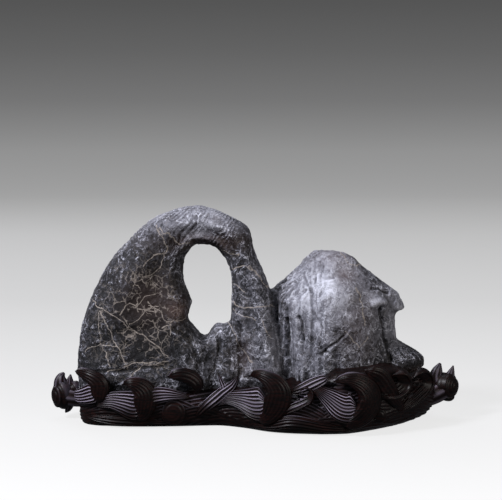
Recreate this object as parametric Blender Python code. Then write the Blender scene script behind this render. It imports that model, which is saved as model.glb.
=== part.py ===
# Picture stone on a carved wave stand.
# Metres, +Z up. X runs along the length, the viewing side faces -Y.
# Origin: middle of the object's length and depth, on the surface that the stand rests on.
# Every outline and table is in units of a five-hundredth of the length: 1 mm at the built size.

import math

import bpy
import bmesh
import numpy as np

# Overall sizes
LENGTH = 0.5                 # tip to tip over the two end curls, metres
UNIT = LENGTH / 500
SEAT_FLOOR = 27              # underside of the stone above the table
SEAT_GAP = 0.45              # clearance between the stone and its seat
GROUND = (-300, 300, -150, 150, -40, 0)   # block under the table's surface that cuts the stand's foot flat
STONE_VOXEL = 2.2
STAND_VOXEL = 1.7
STONE_TRIANGLES = 4000
STAND_TRIANGLES = 4600

# Arch: outlines seen from the front, clockwise from the lower left
WINDOW_CENTRE = (-57, 156)
ARCH_OUTLINE = [
    (-213, 32), (-214, 60), (-213, 90), (-207, 121), (-198, 141), (-190, 164), (-181, 185), (-164, 208),
    (-141, 232), (-130, 243), (-109, 255), (-75, 262), (-40, 254), (-9, 236), (-5, 226), (-2, 209),
    (10, 181), (19, 157), (27, 115), (32, 90), (38, 61), (43, 38), (36, SEAT_FLOOR + 2),
    (0, SEAT_FLOOR + 1), (-57, SEAT_FLOOR), (-110, SEAT_FLOOR), (-160, SEAT_FLOOR), (-200, SEAT_FLOOR + 1)]
WINDOW_OUTLINE = [
    (-71, 216), (-51, 214), (-39, 205), (-31, 193), (-27, 181), (-26, 155), (-28, 130), (-30, 121),
    (-38, 116), (-47, 116), (-55, 105), (-64, 102), (-72, 112), (-81, 125), (-76, 144), (-78, 151),
    (-88, 176), (-86, 199), (-78, 208)]
# Arch half thickness by angle about the window centre: degrees, front, back
ARCH_THICKNESS = [
    (0, 34, 30), (40, 30, 28), (90, 30, 28), (130, 33, 32), (170, 39, 38), (200, 43, 42), (225, 45, 44),
    (247, 43, 42), (261, 40, 36), (271, 28, 28), (285, 26, 26), (297, 29, 28), (310, 38, 32), (333, 38, 34)]
ARCH_SECTION_POWER = 3.3
WINDOW_FLARE = 7             # how much wider the window is at its front rim

# Peak: height, left x, right x, front depth, back depth
PEAK_LEVELS = [
    (SEAT_FLOOR, 24, 152, 46, 42), (38, 13, 165, 56, 50), (55, 10, 172, 63, 56), (80, 11, 174, 67, 60),
    (105, 12, 174, 68, 60), (123, 12, 173, 68, 58), (140, 13, 171, 66, 56), (154, 17, 167, 61, 51),
    (165, 29, 157, 54, 45), (178, 44, 141, 45, 38), (190, 55, 128, 37, 32), (200, 64, 119, 29, 25),
    (206, 73, 107, 20, 18), (209, 84, 94, 8, 8)]
# Low foot at the right and the nose under the brow, in the same way
FOOT_LEVELS = [
    (54, 120, 184, 22, 22), (62, 115, 203, 32, 30), (70, 112, 209, 36, 33), (79, 112, 207, 37, 33),
    (88, 112, 196, 36, 32), (97, 112, 179, 33, 30), (106, 118, 166, 26, 24)]
NOSE_LEVELS = [
    (128, 128, 160, 14, 14), (133, 124, 175, 22, 19), (137, 122, 184, 27, 23), (141, 122, 183, 28, 24),
    (148, 122, 178, 29, 25), (157, 122, 171, 27, 24), (167, 126, 155, 20, 18)]
PEAK_LEFT_SETBACK = 15       # the peak's left edge lies this far behind the arch's centre plane
PEAK_LEFT_POWER = 1.45       # sharp left edge, so that a cleft opens beside the arch's leg
PEAK_RIGHT_POWER = 1.9

# Lumps on the peak: centre, radii
STONE_LUMPS = [
    ((98, -38, 148), (34, 27, 34)),      # bright bulge on the face
    ((144, -30, 149), (17, 22, 9))]      # small ledge under the brow

# Grooves on the viewing side: points (x, z), depth, half width
STONE_GROOVES = [
    ([(78, 188), (70, 155), (68, 118), (62, 48)], 6, 8),
    ([(36, 128), (38, 90), (44, 48)], 5, 6),
    ([(112, 121), (96, 106), (80, 94)], 3.5, 3.5),
    ([(152, 149), (160, 105), (168, 60)], 6, 8),
    ([(94, 88), (100, 66), (98, 44)], 4, 7),
    ([(-130, 214), (-118, 190), (-112, 160)], 3, 9),
    ([(-186, 92), (-150, 118), (-112, 122)], 3, 8),
    ([(-160, 60), (-120, 78), (-92, 66)], 3, 8),
    ([(-20, 118), (-14, 84), (-22, 44)], 6, 5),
    ([(-46, 112), (-44, 80), (-50, 44)], 5, 4),
    ([(-78, 104), (-70, 76), (-74, 42)], 4, 5)]
GROOVE_BEND = 5              # how far the grooves wander to either side
# Lumps and hollows all over the stone: height, cell size, seed
STONE_SWELL = [(2.6, 46, 3), (1.6, 21, 5)]
# Unevenness that the chisel leaves on the stand
STAND_SWELL = [(0.15, 11, 31), (0.15, 3, 41)]

# Stand: outline at its widest, seen from above, from the left end along the front
STAND_OUTLINE = [
    (-213, 0), (-211, -20), (-203, -36), (-185, -47), (-150, -53), (-100, -52), (-57, -48), (-37, -49),
    (-10, -62), (15, -79), (40, -88), (75, -93), (110, -96), (140, -89), (170, -72), (195, -52),
    (212, -29), (220, 0), (214, 30), (198, 54), (172, 73), (140, 86), (105, 93), (70, 88), (35, 77),
    (5, 65), (-30, 57), (-70, 55), (-110, 57), (-150, 55), (-185, 47), (-204, 32), (-212, 15)]
STAND_SPINE = 165            # half length of the line that the flank leans towards
WIDEST = 26                  # height of the widest outline
# Flank profile below the widest line: height, set-in. Above it: share of the way up to the rim, set-in
STAND_FOOT = [(-5, 13), (0, 11), (4, 6.5), (10, 3), (18, 0.8), (26, 0)]
STAND_SHOULDER = [(0, 0), (0.35, 0.8), (0.65, 3), (0.86, 7), (0.97, 12), (1.0, 18), (1.03, 28), (1.05, 42)]
# How the foot's set-in grows towards the right end, where the stand flares like a boat: x, factor
FOOT_FLARE = [(-214, 0.15), (-198, 0.6), (-180, 0.9), (80, 1.0), (110, 1.5), (138, 2.5), (165, 3.2),
              (220, 3.2)]
# Height of the rim along the front and along the back: x, z
FRONT_RIM = [(-214, 40), (-190, 44), (-60, 43), (20, 44), (48, 50), (72, 60), (96, 74), (150, 76), (185, 70),
             (205, 58), (220, 46)]
BACK_RIM = [(-214, 40), (-190, 44), (-60, 44), (20, 45), (60, 52), (100, 62), (150, 64), (185, 60),
            (205, 54), (220, 46)]

# Carved waves on the front, each a band swept along its path over the flank.
# Rows: x, z, half width, outward lift, lean of the upper edge outwards in degrees
# Fans: water that rises to the right and spreads
FRONT_FANS = [
    [(-222, 31, 3, 1, 0), (-213, 33, 7, 3, 0), (-203, 37, 10, 5, 0), (-193, 42, 12, 5, 0),
     (-184, 46, 12, 3, 0)],
    [(-196, 29, 3, 0, 0), (-184, 31, 7, 1, 0), (-170, 34, 11, 2, 0), (-156, 32, 15, 2.5, 0),
     (-144, 29, 18, 2.5, 0), (-134, 31, 17, 2, 0)],
    [(-132, 36, 10, 1.5, 0), (-118, 41, 10, 2, 0), (-104, 42, 8, 2, 0), (-90, 40, 5, 1, 0),
     (-76, 37, 2, 0, 0)],
    [(-72, 12, 3, 0, 0), (-56, 29, 6.5, 2, 8), (-38, 43, 7, 3, 10), (-25, 54, 5, 2.5, 5),
     (-18, 67, 1.4, 2, 0)],
    [(-44, 32, 2.5, 1, 0), (-38, 42, 4, 2, 0), (-36, 50, 3.5, 3, 0), (-40, 59, 2.5, 2.5, 0),
     (-44, 68, 0.9, 2, 0)],
    [(-66, 20, 3, 0, 0), (-50, 30, 6, 1, 0), (-32, 37, 8, 2, 0), (-14, 37, 13, 2.5, 0), (3, 35, 20, 3, 0),
     (18, 38, 19, 2, 0)],
    [(62, 59, 3, 1, 0), (74, 56, 6, 2, 0), (88, 47, 12, 3, 0), (104, 36, 18, 3, 0), (120, 36, 19, 2, 0)],
    [(40, 50, 3, 0, 0), (55, 57, 6, 1, 0), (72, 65, 7, 2, 10), (88, 73, 4, 3, 10)],
    [(-206, 12, 2, 0, 0), (-170, 10, 6, 1, 0), (-120, 7, 5, 0.5, 0), (-90, 6, 2, 0, 0)],
    [(-10, 6, 2, 0, 0), (20, 11, 6, 1, 0), (46, 17, 8, 1.5, 0), (84, 11, 6, 1, 0), (128, 7, 2, 0, 0)]]
# Hoods: crescents that stand at a fan's high end and curl back over it to the left
FRONT_HOODS = [
    [(-186, 28, 3, 3, -15), (-184, 42, 10, 5, -18), (-184, 54, 11, 6, -18), (-191, 62, 9, 7, -12),
     (-202, 66, 6, 7, -5), (-212, 63, 2, 6, 0)],
    [(-146, 10, 3, 2, -10), (-134, 19, 10, 3, -18), (-130, 33, 15, 4, -20), (-131.5, 46, 14, 5, -20),
     (-141, 55, 10, 6, -12), (-152, 57, 5, 6, -5), (-158, 53, 1.5, 5, 0)],
    [(-70, 42, 3, 3, -10), (-69, 54, 8, 4, -15), (-77, 63, 9, 5, -10), (-90, 67, 8, 6, -5),
     (-104, 64, 5, 5, 0)],
    [(2, 15, 3, 2, -10), (17, 21, 10, 3, -18), (27, 37, 16, 4, -20), (29, 54, 15, 5, -20),
     (20, 67, 10, 6, -14), (7, 72, 6, 6, -5), (-4, 67, 2, 5, 0)],
    [(102, 15, 4, 2, -10), (119, 20, 11, 3, -18), (132, 34, 16, 4, -20), (134, 50, 16, 5, -20),
     (125, 64, 12, 6, -14), (110, 71, 8, 6, -6), (92, 67, 2.5, 5, 0)],
    [(128, 80, 6, 2, -10), (144, 72, 11, 2, -15), (156, 54, 11, 2, -15), (170, 34, 6, 1, -10),
     (184, 24, 2, 0, 0)]]
# Curls: small bands that hook round a hollow of their own
FRONT_CURLS = [
    [(30, 24, 2, 0, 0), (42, 32, 5, 1, 8), (54, 38, 5, 3, 20), (64, 44, 4.5, 4, 25), (66, 53, 4, 4, 25),
     (60, 57.5, 3.5, 4, 25), (53, 53, 3, 4, 20)],
    [(140, 46, 3, 0, 0), (152, 50, 8, 1, 15), (165, 50, 10, 2, 30), (175, 58, 10, 3, 38),
     (172, 68, 8, 4, 40), (162, 71, 4, 3, 30)],
    [(168, 24, 3, 0, 0), (182, 34, 8, 1, 15), (195, 42, 9, 2, 28), (204, 51, 9, 3, 36), (203, 61, 8, 3, 38),
     (196, 67, 6, 3, 38), (188, 63, 4, 2, 30)]]
# Whorls on the front: x, z, radius
FRONT_WHORLS = [(-98, 20, 15), (147, 24, 9)]
WHORL_DEPTH = 4              # half thickness of a whorl
WAVE_FACE = 4.5              # how far a band swells to its face
HOOD_FACE = 5.5              # how far a hood swells to its face
WAVE_BACKING = 10            # how far it is backed by solid wood towards the body
HOLLOW_DEPTH = 0.4           # how deep the flank is cut inside a curl, as a share of the curl's size
# The dished wall inside a curl: where it starts along the path, depth in the middle and bow of its open
# side as shares of the curl's size, how far that side dives under the flank, thickness
WEB_START = 0.36
WEB_DEPTH = 0.12
WEB_BOW = 0.4
WEB_SINK = 9
WEB_THICKNESS = 9

# Waves along the back, all alike: place along x, foot z, size
BACK_WAVES = [(-172, 10, 52), (-124, 8, 46), (-78, 10, 50), (-30, 8, 54), (24, 9, 60), (82, 10, 62),
              (138, 12, 56)]
# Their fan and hood: along, up, half width, lift as shares of the wave's size, lean in degrees
BACK_FAN = [(-0.3, 0.38, 0.06, 0, 0), (-0.06, 0.43, 0.14, 0.02, 0), (0.22, 0.48, 0.22, 0.04, 0),
            (0.5, 0.44, 0.3, 0.05, 0), (0.74, 0.38, 0.36, 0.05, 0), (0.94, 0.42, 0.34, 0.04, 0)]
BACK_HOOD = [(0.68, 0, 0.06, 0.04, -10), (0.92, 0.18, 0.2, 0.06, -18), (1.0, 0.46, 0.3, 0.08, -20),
             (0.97, 0.72, 0.28, 0.1, -20), (0.78, 0.9, 0.2, 0.12, -12), (0.56, 0.94, 0.1, 0.12, -5),
             (0.44, 0.86, 0.03, 0.1, 0)]

# Knobs at both ends: centre, radii
END_KNOBS = [
    ((-235, 0, 30), (13.5, 15, 18)), ((-220, 0, 38), (8, 10, 9)),
    ((233, 0, 41), (16.5, 15, 17)), ((237, 0, 27), (8, 9, 5)), ((214, 0, 40), (9, 14, 9))]
# Horns on the knobs, and the necks that carry them, swept in the X-Z plane: half depth in y,
# rows of x, z, half width
END_CURLS = [
    (14, [(-198, 24, 9), (-212, 26, 11), (-226, 28, 12), (-234, 30, 11)]),
    (9, [(-236, 38, 10), (-237, 47, 8), (-236, 53, 5), (-233, 57, 1.5)]),
    (5, [(-226, 40, 6), (-226, 48, 4), (-225, 55, 0.8)]),
    (6, [(-227, 20, 7), (-229, 12, 4), (-232, 7.5, 0.8)]),
    (14, [(202, 26, 12), (216, 30, 13), (232, 38, 13)]),
    (9, [(225, 40, 10), (222, 52, 8), (224, 61, 6), (227, 69, 1.5)]),
    (7, [(236, 46, 9), (240, 56, 5), (243, 66, 0.8)])]


def clear_scene():
    for item in list(bpy.data.objects):
        bpy.data.objects.remove(item, do_unlink=True)


def make_material(name, colour, roughness, coat=0.0):
    material = bpy.data.materials.new(name)
    material.use_nodes = True
    shader = material.node_tree.nodes["Principled BSDF"]
    shader.inputs["Base Color"].default_value = (*colour, 1.0)
    shader.inputs["Roughness"].default_value = roughness
    shader.inputs["Metallic"].default_value = 0.0
    shader.inputs["Coat Weight"].default_value = coat
    return material


def add_object(name, vertices, faces):
    mesh = bpy.data.meshes.new(name)
    mesh.from_pydata([tuple(v) for v in vertices], [], [tuple(int(i) for i in f) for f in faces])
    mesh.validate()
    item = bpy.data.objects.new(name, mesh)
    bpy.context.scene.collection.objects.link(item)
    return item


def smooth_curve(rows, count, closed=False):
    """Catmull-Rom curve through the rows, any number of columns, at equal parameter steps."""
    rows = np.asarray(rows, float)
    total = len(rows)
    spans = total if closed else total - 1
    place = np.linspace(0, spans, count, endpoint=not closed)
    start = np.minimum(place.astype(int), spans - 1)
    part = (place - start)[:, None]
    if closed:
        before, first, second, after = (rows[(start + k) % total] for k in (-1, 0, 1, 2))
    else:
        before, first, second, after = (rows[np.clip(start + k, 0, total - 1)] for k in (-1, 0, 1, 2))
    return 0.5 * (2 * first + (second - before) * part
                  + (2 * before - 5 * first + 4 * second - after) * part ** 2
                  + (3 * first - before - 3 * second + after) * part ** 3)


def even_curve(rows, count, closed=True):
    """The same curve with its points at equal distances."""
    fine = smooth_curve(rows, 60 * len(rows), closed)
    if closed:
        fine = np.vstack([fine, fine[:1]])
    travelled = np.concatenate([[0], np.cumsum(np.linalg.norm(np.diff(fine, axis=0), axis=1))])
    wanted = np.linspace(0, travelled[-1], count, endpoint=not closed)
    return np.column_stack([np.interp(wanted, travelled, column) for column in fine.T])


def signed_power(value, power):
    return np.sign(value) * np.abs(value) ** power


def grid_faces(rings, around):
    """Quads between rings that each close on themselves."""
    ring = np.arange(rings - 1)[:, None] * around
    here = np.arange(around)[None, :]
    after = (here + 1) % around
    corners = np.stack([ring + here, ring + after, ring + around + after, ring + around + here], axis=-1)
    return corners.reshape(-1, 4).tolist()


def capped_loft(rings):
    """A closed solid through a stack of closed rings, with a fan at each end."""
    rings = np.asarray(rings, float)
    count, around, _ = rings.shape
    vertices = np.vstack([rings.reshape(-1, 3), rings[0].mean(0), rings[-1].mean(0)])
    faces = grid_faces(count, around)
    low, high = count * around, count * around + 1
    last = (count - 1) * around
    for k in range(around):
        after = (k + 1) % around
        faces.append((low, after, k))
        faces.append((high, last + k, last + after))
    return vertices, faces


def lattice_noise(points, cell, seed):
    """Smooth noise from -1 to 1: random values on a cubic lattice, blended between its corners."""
    place = points / cell
    corner = np.floor(place).astype(np.int64)
    part = place - corner
    part = part * part * (3 - 2 * part)
    total = np.zeros(len(points))
    for step in np.ndindex(2, 2, 2):
        node = corner + np.array(step)
        mixed = node[:, 0] * 73856093 ^ node[:, 1] * 19349663 ^ node[:, 2] * 83492791 ^ seed * 2654435761
        mixed = (mixed ^ (mixed >> 13)) * 1274126177
        value = ((mixed ^ (mixed >> 16)) & 0xFFFF) / 32767.5 - 1
        share = np.prod(np.where(step, part, 1 - part), axis=1)
        total += value * share
    return total


def read_vertices(item):
    """Places and normals of the object's vertices, the places in units."""
    mesh = item.data
    place = np.empty(len(mesh.vertices) * 3)
    mesh.vertices.foreach_get("co", place)
    normal = np.empty(len(mesh.vertices) * 3)
    mesh.vertex_normals.foreach_get("vector", normal)
    return place.reshape(-1, 3) / UNIT, normal.reshape(-1, 3)


def swell_out(item, place, normal, amount):
    """Move every vertex along its normal."""
    item.data.vertices.foreach_set("co", ((place + normal * amount[:, None]) * UNIT).ravel())
    item.data.update()


def distance_to_line(points, line):
    """Distance in one plane from each point to a run of straight pieces."""
    best = np.full(len(points), 1e9)
    line = np.asarray(line, float)
    for first, second in zip(line[:-1], line[1:]):
        along = second - first
        share = np.clip((points - first) @ along / (along @ along), 0, 1)
        best = np.minimum(best, np.linalg.norm(points - first - share[:, None] * along, axis=1))
    return best


def joined(pieces):
    """Vertices and faces of several closed shells in one list."""
    vertices, faces, offset = [], [], 0
    for points, quads in pieces:
        vertices.append(points)
        faces.extend([tuple(i + offset for i in quad) for quad in quads])
        offset += len(points)
    return np.vstack(vertices), faces


def arch_shell(sections=150, around=44):
    """The arch as a ring: each section is a superellipse between the window and the outer outline."""
    centre = np.array(WINDOW_CENTRE, float)
    outer = even_curve(ARCH_OUTLINE, sections) - centre
    angle = np.arctan2(outer[:, 1], outer[:, 0])
    outer_radius = np.linalg.norm(outer, axis=1)
    window = even_curve(WINDOW_OUTLINE, 400) - centre
    window_angle = np.arctan2(window[:, 1], window[:, 0])
    order = np.argsort(window_angle)
    inner_radius = np.interp(angle, window_angle[order], np.linalg.norm(window, axis=1)[order],
                             period=2 * math.pi)
    table = np.array(ARCH_THICKNESS, float)
    degrees = np.degrees(angle) % 360
    front = np.interp(degrees, table[:, 0], table[:, 1], period=360)
    back = np.interp(degrees, table[:, 0], table[:, 2], period=360)
    turn = np.linspace(0, 2 * math.pi, around, endpoint=False)
    across = signed_power(np.cos(turn), 2 / ARCH_SECTION_POWER)
    through = signed_power(np.sin(turn), 2 / ARCH_SECTION_POWER)
    middle = (outer_radius + inner_radius) / 2
    half = (outer_radius - inner_radius) / 2
    radius = middle[:, None] + half[:, None] * across[None, :]
    facing = np.clip(-through, 0, 1)
    thick = np.where(through < 0, front[:, None], back[:, None])
    shaped = 1 + 0.10 * np.exp(-((across - 0.35) / 0.3) ** 2) - 0.12 * np.exp(-((across + 0.3) / 0.3) ** 2)
    depth = thick * through[None, :] * shaped[None, :]
    upper = 0.4 + 0.6 * np.clip(np.sin(angle - 0.3), 0, 1)
    inward = np.clip(-across, 0, 1) ** 2
    radius = radius + WINDOW_FLARE * upper[:, None] * (facing * inward)[None, :]
    x = centre[0] + radius * np.cos(angle)[:, None]
    z = centre[1] + radius * np.sin(angle)[:, None]
    rings = np.stack([x, depth, z], axis=-1)
    vertices = rings.reshape(-1, 3)
    faces = grid_faces(sections, around)
    last = (sections - 1) * around
    for k in range(around):
        after = (k + 1) % around
        faces.append((last + k, last + after, after, k))
    return vertices * UNIT, faces


def level_shell(table, levels=60, around=72):
    """A mass as a stack of outlines, sharp at the left and round at the right."""
    rows = smooth_curve(table, levels)
    turn = np.linspace(0, 2 * math.pi, around, endpoint=False)
    cosine, sine = np.cos(turn), np.sin(turn)
    power = np.where(cosine < 0, PEAK_LEFT_POWER, PEAK_RIGHT_POWER)
    across = signed_power(cosine, 2 / power)
    through = signed_power(sine, 2 / power)
    rings = []
    for z, left, right, front, back in rows:
        middle, half = (left + right) / 2, (right - left) / 2
        x = middle + half * across
        y = np.where(through < 0, front, back) * through
        y = y + PEAK_LEFT_SETBACK * np.clip(-across, 0, 1) ** 2
        rings.append(np.column_stack([x, y, np.full(around, z)]))
    vertices, faces = capped_loft(rings)
    return vertices * UNIT, faces


def lump_shell(centre, radii, rings=14, around=24):
    latitude = np.linspace(-math.pi / 2, math.pi / 2, rings + 2)[1:-1]
    turn = np.linspace(0, 2 * math.pi, around, endpoint=False)
    stack = []
    for angle in latitude:
        x = np.cos(angle) * np.cos(turn)
        y = np.cos(angle) * np.sin(turn)
        z = np.full(around, math.sin(angle))
        stack.append(np.column_stack([x, y, z]) * radii + centre)
    vertices, faces = capped_loft(stack)
    return vertices * UNIT, faces


def outline_halves():
    """The front and back halves of the stand's widest outline as (x, y) points, ordered by x."""
    outline = even_curve(STAND_OUTLINE, 240)
    front = outline[outline[:, 1] < 0]
    back = outline[outline[:, 1] >= 0]
    return front[np.argsort(front[:, 0])], back[np.argsort(back[:, 0])]


def read_table(table, x):
    return np.interp(x, *np.array(table, float).T)


def flank(x, y, level):
    """Height and set-in of the flank at outline points (x, y). Level 0 is the foot, 1 widest, 2 the rim."""
    front_share = np.clip(0.5 - y / 40, 0, 1)
    rim = front_share * read_table(FRONT_RIM, x) + (1 - front_share) * read_table(BACK_RIM, x)
    low = np.array(STAND_FOOT, float)
    foot_z = low[0, 0] + (WIDEST - low[0, 0]) * np.clip(level, 0, 1)
    foot_inset = np.interp(foot_z, low[:, 0], low[:, 1]) * read_table(FOOT_FLARE, x)
    shoulder = np.array(STAND_SHOULDER, float)
    share = np.clip(level - 1, 0, shoulder[-1, 0])
    rim_inset = np.interp(share, shoulder[:, 0], shoulder[:, 1])
    upper = level > 1
    return np.where(upper, WIDEST + share * (rim - WIDEST), foot_z), np.where(upper, rim_inset, foot_inset)


def curl_hollow(rows):
    """Middle of a wave's curl and its radius, from the part of its path after the throat."""
    path = smooth_curve(rows, 60)[24:, :2]
    middle = path.mean(0)
    return middle, np.linalg.norm(path - middle, axis=1).mean()


def stand_shell():
    """The body of the stand: its outline set in towards a spine, and hollowed inside every curl."""
    outline = even_curve(STAND_OUTLINE, 300)
    x, y = outline.T
    spine = np.column_stack([np.clip(x, -STAND_SPINE, STAND_SPINE), np.zeros(len(x))])
    outward = outline - spine
    reach = np.linalg.norm(outward, axis=1)
    outward = outward / reach[:, None]
    levels = np.concatenate([np.linspace(0, 2, 36), 1 + np.array(STAND_SHOULDER)[-2:, 0]])
    hollows = [curl_hollow(rows) for rows in FRONT_CURLS]
    rings = []
    for level in levels:
        z, inset = flank(x, y, level)
        for middle, radius in hollows:
            near = np.exp(-((x - middle[0]) ** 2 + (z - middle[1]) ** 2) / (1.1 * radius) ** 2)
            inset = inset + HOLLOW_DEPTH * radius * near * (y < 0)
        point = outline - outward * np.minimum(inset, 0.8 * reach)[:, None]
        rings.append(np.column_stack([point, z]))
    vertices, faces = capped_loft(rings)
    return vertices * UNIT, faces


def back_rows(unit):
    """A unit fan or hood at each of its places along the back."""
    scaled = []
    for x, z, size in BACK_WAVES:
        rows = np.array(unit, float) * [size, size, size, size, 1]
        scaled.append(rows + [x - 0.4 * size, z, 0, 0, 0])
    return scaled


def flank_place(x, z, side):
    """y, outward direction and set-in on the stand's flank above (x, z). Side -1 is front, 1 is back."""
    front, back = outline_halves()
    edge = front if side < 0 else back
    y = np.interp(x, edge[:, 0], edge[:, 1])
    slope = (np.interp(x + 6, edge[:, 0], edge[:, 1]) - np.interp(x - 6, edge[:, 0], edge[:, 1])) / 12
    normal = np.column_stack([-slope, np.ones(len(x))]) * side
    normal = normal / np.linalg.norm(normal, axis=1)[:, None]
    low = np.array(STAND_FOOT, float)
    inset = np.interp(z, low[:, 0], low[:, 1]) * read_table(FOOT_FLARE, x)
    return y, normal, inset


def wave_shell(rows, side, bulge=WAVE_FACE, steps=48, around=16):
    """A wave: a flat band swept along its path over the flank, narrowing to a point at each end."""
    rows = smooth_curve(rows, steps)
    x, z, half, lift, lean = rows.T
    y, normal, inset = flank_place(x, z, side)
    out = lift - inset
    path = np.column_stack([x + normal[:, 0] * out, y + normal[:, 1] * out, z])
    heading = np.gradient(path, axis=0)
    heading = heading / np.linalg.norm(heading, axis=1)[:, None]
    outward = np.column_stack([normal, np.zeros(steps)])
    away = -side * np.cross(heading, outward)
    away = away / np.linalg.norm(away, axis=1)[:, None]
    lean = np.radians(lean)[:, None]
    across = away * np.cos(lean) + outward * np.sin(lean)
    face = outward * np.cos(lean) - away * np.sin(lean)
    turn = np.linspace(0, 2 * math.pi, around, endpoint=False)
    wide = signed_power(np.cos(turn), 0.8)
    deep = signed_power(np.sin(turn), 0.8)
    half = np.maximum(half, 0.8)
    depth = np.where(np.sin(turn) > 0, bulge, WAVE_BACKING) * np.clip(half / 8, 0.15, 1)[:, None]
    rings = (path[:, None, :] + across[:, None, :] * (half[:, None] * wide)[:, :, None]
             + face[:, None, :] * (depth * deep)[:, :, None])
    vertices, faces = capped_loft(rings)
    return vertices * UNIT, faces


def web_shell(rows, side, closing=12, shares=(0.1, 0.4, 0.7, 1.0)):
    """The dished wall that closes a curl from its throat to its tip."""
    curve = even_curve(rows, 48, closed=False)
    curve = curve[int(WEB_START * len(curve)):]
    middle, radius = curl_hollow(rows)
    part = np.linspace(0, 1, closing + 2)[1:-1, None]
    bridge = curve[-1] + (curve[0] - curve[-1]) * part
    open_side = (curve[-1] + curve[0])[:2] / 2 - middle
    open_side = open_side / max(np.linalg.norm(open_side), 1)
    bridge[:, :2] += open_side * WEB_BOW * radius * np.sin(math.pi * part)
    x, z, half, lift, lean = np.vstack([curve, bridge]).T
    sink = np.concatenate([np.zeros(len(curve)), WEB_SINK * np.sin(math.pi * part[:, 0])])
    y, normal, inset = flank_place(x, z, side)
    out = lift - inset - sink
    rim = np.column_stack([x + normal[:, 0] * out, y + normal[:, 1] * out, z])
    outward = np.column_stack([normal, np.zeros(len(x))])
    eye_y, eye_normal, eye_inset = flank_place(middle[:1], middle[1:], side)
    eye_out = lift.mean() - eye_inset[0]
    eye_x = middle[0] + eye_normal[0, 0] * eye_out
    eye = np.array([eye_x, eye_y[0] + eye_normal[0, 1] * eye_out, middle[1]])
    share = np.array(shares)[:, None, None]
    dish = eye + (rim - eye) * share - outward * WEB_DEPTH * radius * (1 - share ** 2)
    rings = np.concatenate([dish, (dish - outward * WEB_THICKNESS)[::-1]])
    vertices, faces = capped_loft(rings)
    return vertices * UNIT, faces


def whorl_shell(x, z, radius):
    """A round boss on the front of the flank."""
    y, normal, inset = flank_place(np.array([x]), np.array([z]), -1)
    centre = np.array([x, y[0] + inset[0], z])
    return lump_shell(centre, np.array([radius, WHORL_DEPTH, radius]))


def curl_shell(rows, half_depth, steps=24, around=16):
    """An end curl: a horn swept in the X-Z plane, thinning with its width."""
    rows = smooth_curve(rows, steps)
    x, z, half = rows.T
    heading = np.gradient(rows[:, :2], axis=0)
    heading = heading / np.linalg.norm(heading, axis=1)[:, None]
    across = np.column_stack([-heading[:, 1], np.zeros(steps), heading[:, 0]])
    turn = np.linspace(0, 2 * math.pi, around, endpoint=False)
    half = np.maximum(half, 0.8)
    depth = half_depth * (half / half.max()) ** 0.8
    path = np.column_stack([x, np.zeros(steps), z])
    rings = (path[:, None, :] + across[:, None, :] * (half[:, None] * np.cos(turn))[:, :, None]
             + np.array([0, 1, 0]) * (depth[:, None] * np.sin(turn))[:, :, None])
    vertices, faces = capped_loft(rings)
    return vertices * UNIT, faces


def outward_faces(item):
    """Turn every closed shell so that its faces point out."""
    edit = bmesh.new()
    edit.from_mesh(item.data)
    bmesh.ops.recalc_face_normals(edit, faces=edit.faces)
    edit.to_mesh(item.data)
    edit.free()


def apply_modifiers(item):
    """Replace the object's mesh with the one its modifiers give."""
    graph = bpy.context.evaluated_depsgraph_get()
    made = bpy.data.meshes.new_from_object(item.evaluated_get(graph))
    item.modifiers.clear()
    item.data = made


def fuse(item, voxel):
    """One skin around all the overlapping shells."""
    remesh = item.modifiers.new("fuse", "REMESH")
    remesh.mode = "VOXEL"
    remesh.voxel_size = voxel * UNIT
    apply_modifiers(item)


def thin_out(item, triangles):
    """Fewer triangles, kept where the surface bends most."""
    count = sum(len(face.vertices) - 2 for face in item.data.polygons)
    decimate = item.modifiers.new("thin", "DECIMATE")
    decimate.ratio = triangles / count
    decimate.use_collapse_triangulate = True
    apply_modifiers(item)


def keep_largest(item):
    """Drop loose chips, so that the solid is one body, and split its faces into triangles."""
    edit = bmesh.new()
    edit.from_mesh(item.data)
    edit.verts.ensure_lookup_table()
    unseen = set(edit.verts)
    groups = []
    while unseen:
        group = {unseen.pop()}
        edge = set(group)
        while edge:
            edge = {other.other_vert(v) for v in edge for other in v.link_edges} - group
            group |= edge
        unseen -= group
        groups.append(group)
    groups.sort(key=len)
    for group in groups[:-1]:
        bmesh.ops.delete(edit, geom=list(group), context="VERTS")
    bmesh.ops.triangulate(edit, faces=edit.faces)
    edit.to_mesh(item.data)
    edit.free()


def uneven(place, layers):
    return sum(height * lattice_noise(place, cell, seed) for height, cell, seed in layers)


def weather(item):
    """Lumps and hollows of the stone, with its main grooves cut into the viewing side."""
    place, normal = read_vertices(item)
    amount = uneven(place, STONE_SWELL)
    facing = np.clip(-normal[:, 1] * 1.6, 0, 1)
    wander = np.column_stack([lattice_noise(place, 24, 7), lattice_noise(place, 24, 9)])
    bent = place[:, [0, 2]] + GROOVE_BEND * wander
    for line, depth, half in STONE_GROOVES:
        away = distance_to_line(bent, line)
        amount -= facing * depth * np.exp(-(away / half) ** 2)
    swell_out(item, place, normal, amount)


def chisel(item):
    place, normal = read_vertices(item)
    swell_out(item, place, normal, uneven(place, STAND_SWELL))


def boolean(item, other, operation):
    cut = item.modifiers.new("cut", "BOOLEAN")
    cut.operation = operation
    cut.solver = "EXACT"
    cut.object = other
    apply_modifiers(item)


def add_cutter(name, vertices, faces):
    item = add_object(name, vertices, faces)
    item.hide_render = True
    item.display_type = "WIRE"
    return item


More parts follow.
